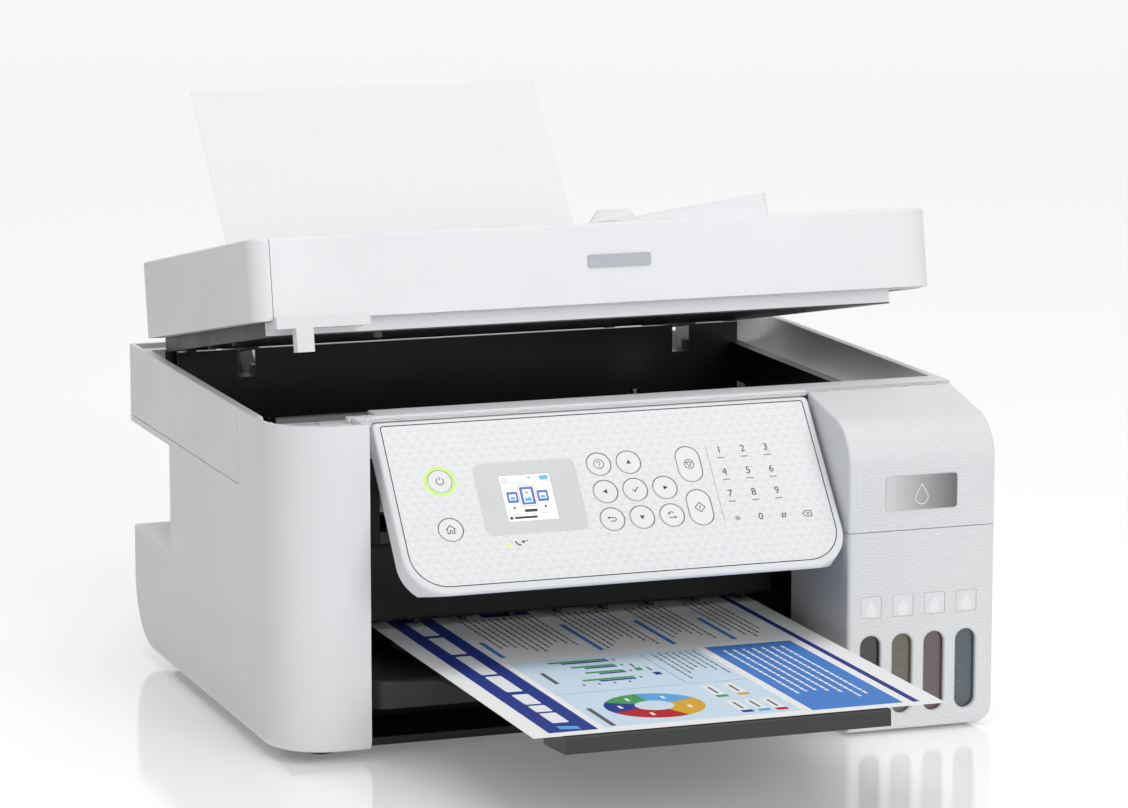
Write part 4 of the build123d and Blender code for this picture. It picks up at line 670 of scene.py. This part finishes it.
handset = arc(-68.9, -68.9, 3.2, 195, 262, 12)
draw("line_mark", [handset], 0.75, *PRINT, PANEL, ink_dark, "panel")
draw("line_mark_arrow", [[(-65.4, -69.6), (-68.0, -70.2)]], 0.4, *PRINT, PANEL, ink_dark, "panel")
patch("line_mark_head", [[(-69.0, -70.4), (-67.6, -69.3), (-67.4, -71.1)]], *PRINT, PANEL, ink_dark, "panel")

# ---------------------------------------------------------------- document lid trim
silver = metal("badge_silver", (0.27, 0.28, 0.30), 0.40, (1.0, 30.0, 30.0))
patch("lid_badge", [round_rect(-8.0, 191.6, 26.4, 198.2, 1.4)], -0.02, 0.5, LID_FRONT, silver, "document_lid")
mat_white = soft_rubber("document_mat", (0.84, 0.84, 0.83), 0.7, 0.012)
patch("document_mat", [round_rect(-166, 82, 164, 270, 3)], 188.1, 189.2, LID, mat_white, "document_lid")
pad_black = soft_rubber("bumper_black", (0.02, 0.02, 0.02))
for k, y in enumerate((150.0, 198.0, 246.0)):
    patch(f"lid_bumper_{k}", [round_rect(-175.6, y - 4, -170.6, y + 4, 1.5)], 163.6, 165.35, LID,
          pad_black, "scanner")

# ---------------------------------------------------------------- ink tank front
badge = round_rect(126.0, 117.2, 165.6, 135.0, 1.7)


def badge_material():
    """Brushed plate that darkens towards its right end."""
    n = Nodes("tank_badge")
    x, _, _ = n.local(MACHINE)
    mapping = n.new("ShaderNodeMapping")
    mapping.inputs["Scale"].default_value = (2.0, 60.0, 60.0)
    n.link(n.place, mapping.inputs["Vector"])
    marks = n.noise(40.0, 4.0, 0.6, mapping.outputs["Vector"])
    n.set("Metallic", 0.75)
    n.set("Base Color", n.mix(n.ramp(x, 126.0, 165.6), (0.66, 0.66, 0.665), (0.16, 0.16, 0.165)))
    n.set("Roughness", n.ramp(marks, 0.3, 0.7, 0.26, 0.38))
    n.set("Normal", n.bump(marks, 0.12, 0.00002))
    return n.material


patch("tank_badge", [badge], -0.02, 0.45, FACE, badge_material(), "tank_door")
drop_pale = moulded("badge_drop", (0.80, 0.81, 0.82), 0.3).material


def drop(x, y, size):
    """Outline of an ink drop."""
    point = math.asin(0.5)
    body = arc(x, y - 0.25 * size, 0.5 * size, 150, 390, 20)
    return body + [(x, y + 0.75 * size)] if point else body


draw("badge_drop", [drop(145.8, 125.2, 7.0)], 0.5, 0.45, 0.6, FACE, drop_pale, "tank_door", closed=True)
tank_xs = (118.4, 136.2, 154.0, 171.8)
label_white = moulded("label_plate", (0.80, 0.81, 0.825), 0.4).material
drop_grey = moulded("label_drop", (0.89, 0.895, 0.90), 0.35).material
patch("label_plates", [round_rect(x - 5.5, 62.0, x + 5.5, 73.0, 1.0) for x in tank_xs], -0.5, -0.12, FACE,
      label_white, "printer_body")
patch("label_drops", [drop(x, 66.7, 6.2) for x in tank_xs], -0.13, -0.03, FACE, drop_grey, "printer_body")
mark_ink = (("black", (0.07, 0.07, 0.07)), ("yellow", (0.22, 0.20, 0.15)), ("magenta", (0.20, 0.14, 0.17)),
            ("cyan", (0.14, 0.19, 0.22)))
for x, (ink, colour) in zip(tank_xs, mark_ink):
    marks = [[(x - 3.4, z), (x + 0.9, z)] for z in (24.4, 32.8, 41.0)]
    draw("level_marks_" + ink, marks, 0.55, -3.22, -3.0, FACE,
         glossy("mark_" + ink, colour, 0.35).material, "printer_body")
    draw("level_tip_" + ink, [[(x - 1.8, 19.2), (x, 17.0), (x + 1.8, 19.2)]], 0.5, -3.22, -3.0, FACE,
         glossy("tip_" + ink, colour, 0.35).material, "printer_body")

# ---------------------------------------------------------------- printed page
PAGE = MACHINE @ Matrix.Translation((-115.8, -144.0, 52.85))
navy = printed("page_navy", (0.02, 0.045, 0.28))
blue = printed("page_blue", (0.075, 0.24, 0.66))
pale_blue = printed("page_pale_blue", (0.66, 0.80, 0.92))
page_ink = printed("page_ink", (0.12, 0.12, 0.13))
page_white = printed("page_white", (0.90, 0.91, 0.92))
green = printed("page_green", (0.07, 0.36, 0.11))
gold = printed("page_gold", (0.75, 0.42, 0.03))
red = printed("page_red", (0.52, 0.012, 0.02))
sky = printed("page_sky", (0.13, 0.42, 0.80))
GROUND, MARK, TOP = (0.0, 0.02), (0.02, 0.035), (0.035, 0.05)


def page_patch(name, outlines, level, material):
    patch("page_" + name, outlines, *level, PAGE, material, "printed_page")


def greeked(u0, u1, v_low, v_high, pitch, gap_every=0, thick=1.15):
    """Rows standing in for lines of text that run along the sheet, each broken into words."""
    words = []
    row = 0
    u = u0
    while u < u1:
        if not gap_every or row % gap_every != gap_every - 1:
            v = v_high
            end = v_low + (abs(math.sin(row * 2.7 + u0)) * 22)
            step = 0
            while v > end + 2:
                length = 2.6 + 3.2 * abs(math.sin(row * 1.9 + step * 2.3 + u0))
                words.append(box_outline(u, max(end, v - length), u + thick, v))
                v -= length + 1.1
                step += 1
        u += pitch
        row += 1
    return words


page_patch("title_band", [box_outline(10, 6.4, 34.6, 291)], GROUND, navy)
page_patch("stripe", [box_outline(195.8, 6, 199.3, 291)], GROUND, navy)
page_patch("pale_panel", [box_outline(38.6, 8, 139.2, 147.8)], GROUND, pale_blue)
page_patch("blue_panel", [box_outline(143.8, 6.4, 190.8, 147.8)], GROUND, blue)
page_patch("picture", [box_outline(60.6, 250, 87, 276)], GROUND, navy)
title_spans = ((24, 44), (47, 60), (63, 84), (90, 124), (128, 170), (175, 214), (219, 252))
title_words = [round_rect(18.2, v0, 26.6, v1, 1.2, 3) for v0, v1 in title_spans]
page_patch("title_words", title_words, MARK, page_white)
page_patch("title_emblem", [[(17.6, 12), (27.2, 9.5), (27.2, 15.5), (17.6, 18)]], MARK, sky)
columns = greeked(46.0, 88.0, 160, 247, 3.9) + greeked(97.5, 127.0, 160, 247, 3.9)
columns += greeked(137.5, 160.0, 160, 247, 3.9) + greeked(170.5, 190.0, 160, 247, 3.9)
page_patch("columns", columns, GROUND, page_ink)
headings = [round_rect(u, v0, u + 2.6, v1, 0.6, 3) for u, v0, v1 in
            ((39.4, 160, 196), (92.2, 160, 222), (131.4, 160, 218), (164.6, 160, 212))]
page_patch("headings", headings, GROUND, blue)
page_patch("box_words", greeked(150.0, 186.0, 22, 138, 5.2, 0, 1.5), MARK, page_white)
page_patch("note_words", greeked(113.0, 136.0, 84, 143, 3.7, 0, 1.0), MARK, page_ink)
draw("page_panel_rules", [[(38.6, 77.0), (139.2, 77.0)], [(107.5, 80), (107.5, 145)]], 0.3, *MARK, PAGE, page_ink,
     "printed_page")
page_patch("chart_title", [round_rect(46.0, 98, 48.4, 122, 0.5, 3),
                           round_rect(42.6, 10, 45.2, 46, 0.5, 3)], MARK, page_ink)
page_patch("bars_green", [box_outline(88 - length, v, 88, v + 3.4) for v, length in
                          ((138.6, 31), (126.2, 23), (113.4, 20), (98.6, 27))], MARK, green)
page_patch("bars_navy", [box_outline(88 - length, v, 88, v + 2.6) for v, length in
                         ((135.6, 25), (123.2, 17), (110.4, 14), (95.6, 19))], MARK, navy)
page_patch("chart_numbers", [box_outline(90.4, v, 91.6, v + 3) for v in (136.5, 124.5, 111.5, 97)] +
           [box_outline(u, 90, u + 1.2, 93) for u in (58, 66, 74, 82)] +
           [box_outline(95, 120, 96.2, 127), box_outline(100.4, 110, 101.6, 117)], MARK, page_ink)
page_patch("chart_keys_green", [box_outline(94, 112, 97.6, 118)], TOP, green)
page_patch("chart_keys_navy", [box_outline(99.6, 100, 103.2, 106)], TOP, navy)


def ring_part(start, end):
    return arc(76.2, 41.2, 24.5, start, end, 20) + arc(76.2, 41.2, 9.6, end, start, 20)


slices = ((sky, 20, 92), (green, 92, 148), (navy, 148, 200), (red, 200, 292), (gold, 292, 380))
for part, (material, start, end) in enumerate(slices):
    page_patch(f"ring_{part}", [ring_part(start, end)], MARK, material)
    a = math.radians((start + end) / 2)
    u, v = 76.2 + 17 * math.cos(a), 41.2 + 17 * math.sin(a)
    page_patch(f"ring_note_{part}", [box_outline(u - 0.9, v - 2.6, u + 0.9, v + 2.6)], TOP, page_white)
tags = ((111, 46, green), (122.4, 47, gold), (111, 13.4, navy), (119.6, 13.4, sky), (128.4, 12.6, red))
for tag, (u, v, material) in enumerate(tags):
    page_patch(f"tag_{tag}", [box_outline(u, v, u + 6, v + 24)], MARK, page_white)
    page_patch(f"tag_colour_{tag}", [box_outline(u, v, u + 6, v + 4.6)], TOP, material)
    page_patch(f"tag_word_{tag}", [box_outline(u + 2.3, v + 8, u + 3.6, v + 21)], TOP, page_ink)

# ---------------------------------------------------------------- studio
def studio():
    world = bpy.data.worlds.new("studio")
    bpy.context.scene.world = world
    world.use_nodes = True
    tree = world.node_tree
    background = tree.nodes["Background"]
    background.inputs["Color"].default_value = (0.985, 0.99, 1.0, 1.0)
    direction = tree.nodes.new("ShaderNodeTexCoord")
    facing = tree.nodes.new("ShaderNodeVectorMath")
    facing.operation = "DOT_PRODUCT"
    facing.inputs[1].default_value = (0.33, 0.94, 0.0)
    bright = tree.nodes.new("ShaderNodeMapRange")
    bright.interpolation_type = "SMOOTHSTEP"
    for socket, value in (("From Min", 0.70), ("From Max", 0.90), ("To Min", 0.33), ("To Max", 1.04)):
        bright.inputs[socket].default_value = value
    tree.links.new(direction.outputs["Generated"], facing.inputs[0])
    tree.links.new(facing.outputs["Value"], bright.inputs["Value"])
    tree.links.new(bright.outputs["Result"], background.inputs["Strength"])

    floor_mesh = bpy.data.meshes.new("studio_floor")
    floor_bm = bmesh.new()
    half = 14.0
    square = ((-half, -half, 0), (half, -half, 0), (half, half, 0), (-half, half, 0))
    floor_bm.faces.new([floor_bm.verts.new(corner) for corner in square])
    floor_bm.to_mesh(floor_mesh)
    floor_bm.free()
    floor = bpy.data.objects.new("studio_floor", floor_mesh)
    bpy.context.scene.collection.objects.link(floor)
    n = Nodes("floor_white")
    n.set("Base Color", n.mix(n.ramp(n.noise(0.7), 0.3, 0.7), (0.90, 0.90, 0.905), (0.93, 0.93, 0.935)))
    n.set("Roughness", 0.10)
    n.set("Specular IOR Level", 0.9)
    n.set("Emission Color", (1.0, 1.0, 1.0, 1.0))
    n.set("Emission Strength", 0.16)
    floor_mesh.materials.append(n.material)

    def lamp(name, place, aim, size, power, colour=(1, 1, 1)):
        data = bpy.data.lights.new(name, "AREA")
        data.shape = "RECTANGLE"
        data.size, data.size_y = size
        data.energy = power
        data.color = colour
        light = bpy.data.objects.new(name, data)
        light.location = place
        direction = Vector(aim) - Vector(place)
        light.rotation_euler = direction.to_track_quat("-Z", "Y").to_euler()
        bpy.context.scene.collection.objects.link(light)

    lamp("top_box", (0.1, -0.3, 2.4), (0, 0, 0.1), (2.2, 1.8), 27)
    lamp("front_box", (0.7, -2.7, 1.2), (0, -0.1, 0.12), (1.4, 1.4), 27)
    lamp("left_box", (-2.4, -1.0, 1.2), (0, 0, 0.12), (1.4, 1.4), 1.5)
    bpy.context.scene.view_settings.view_transform = "Standard"
    bpy.context.scene.view_settings.look = "None"


studio()
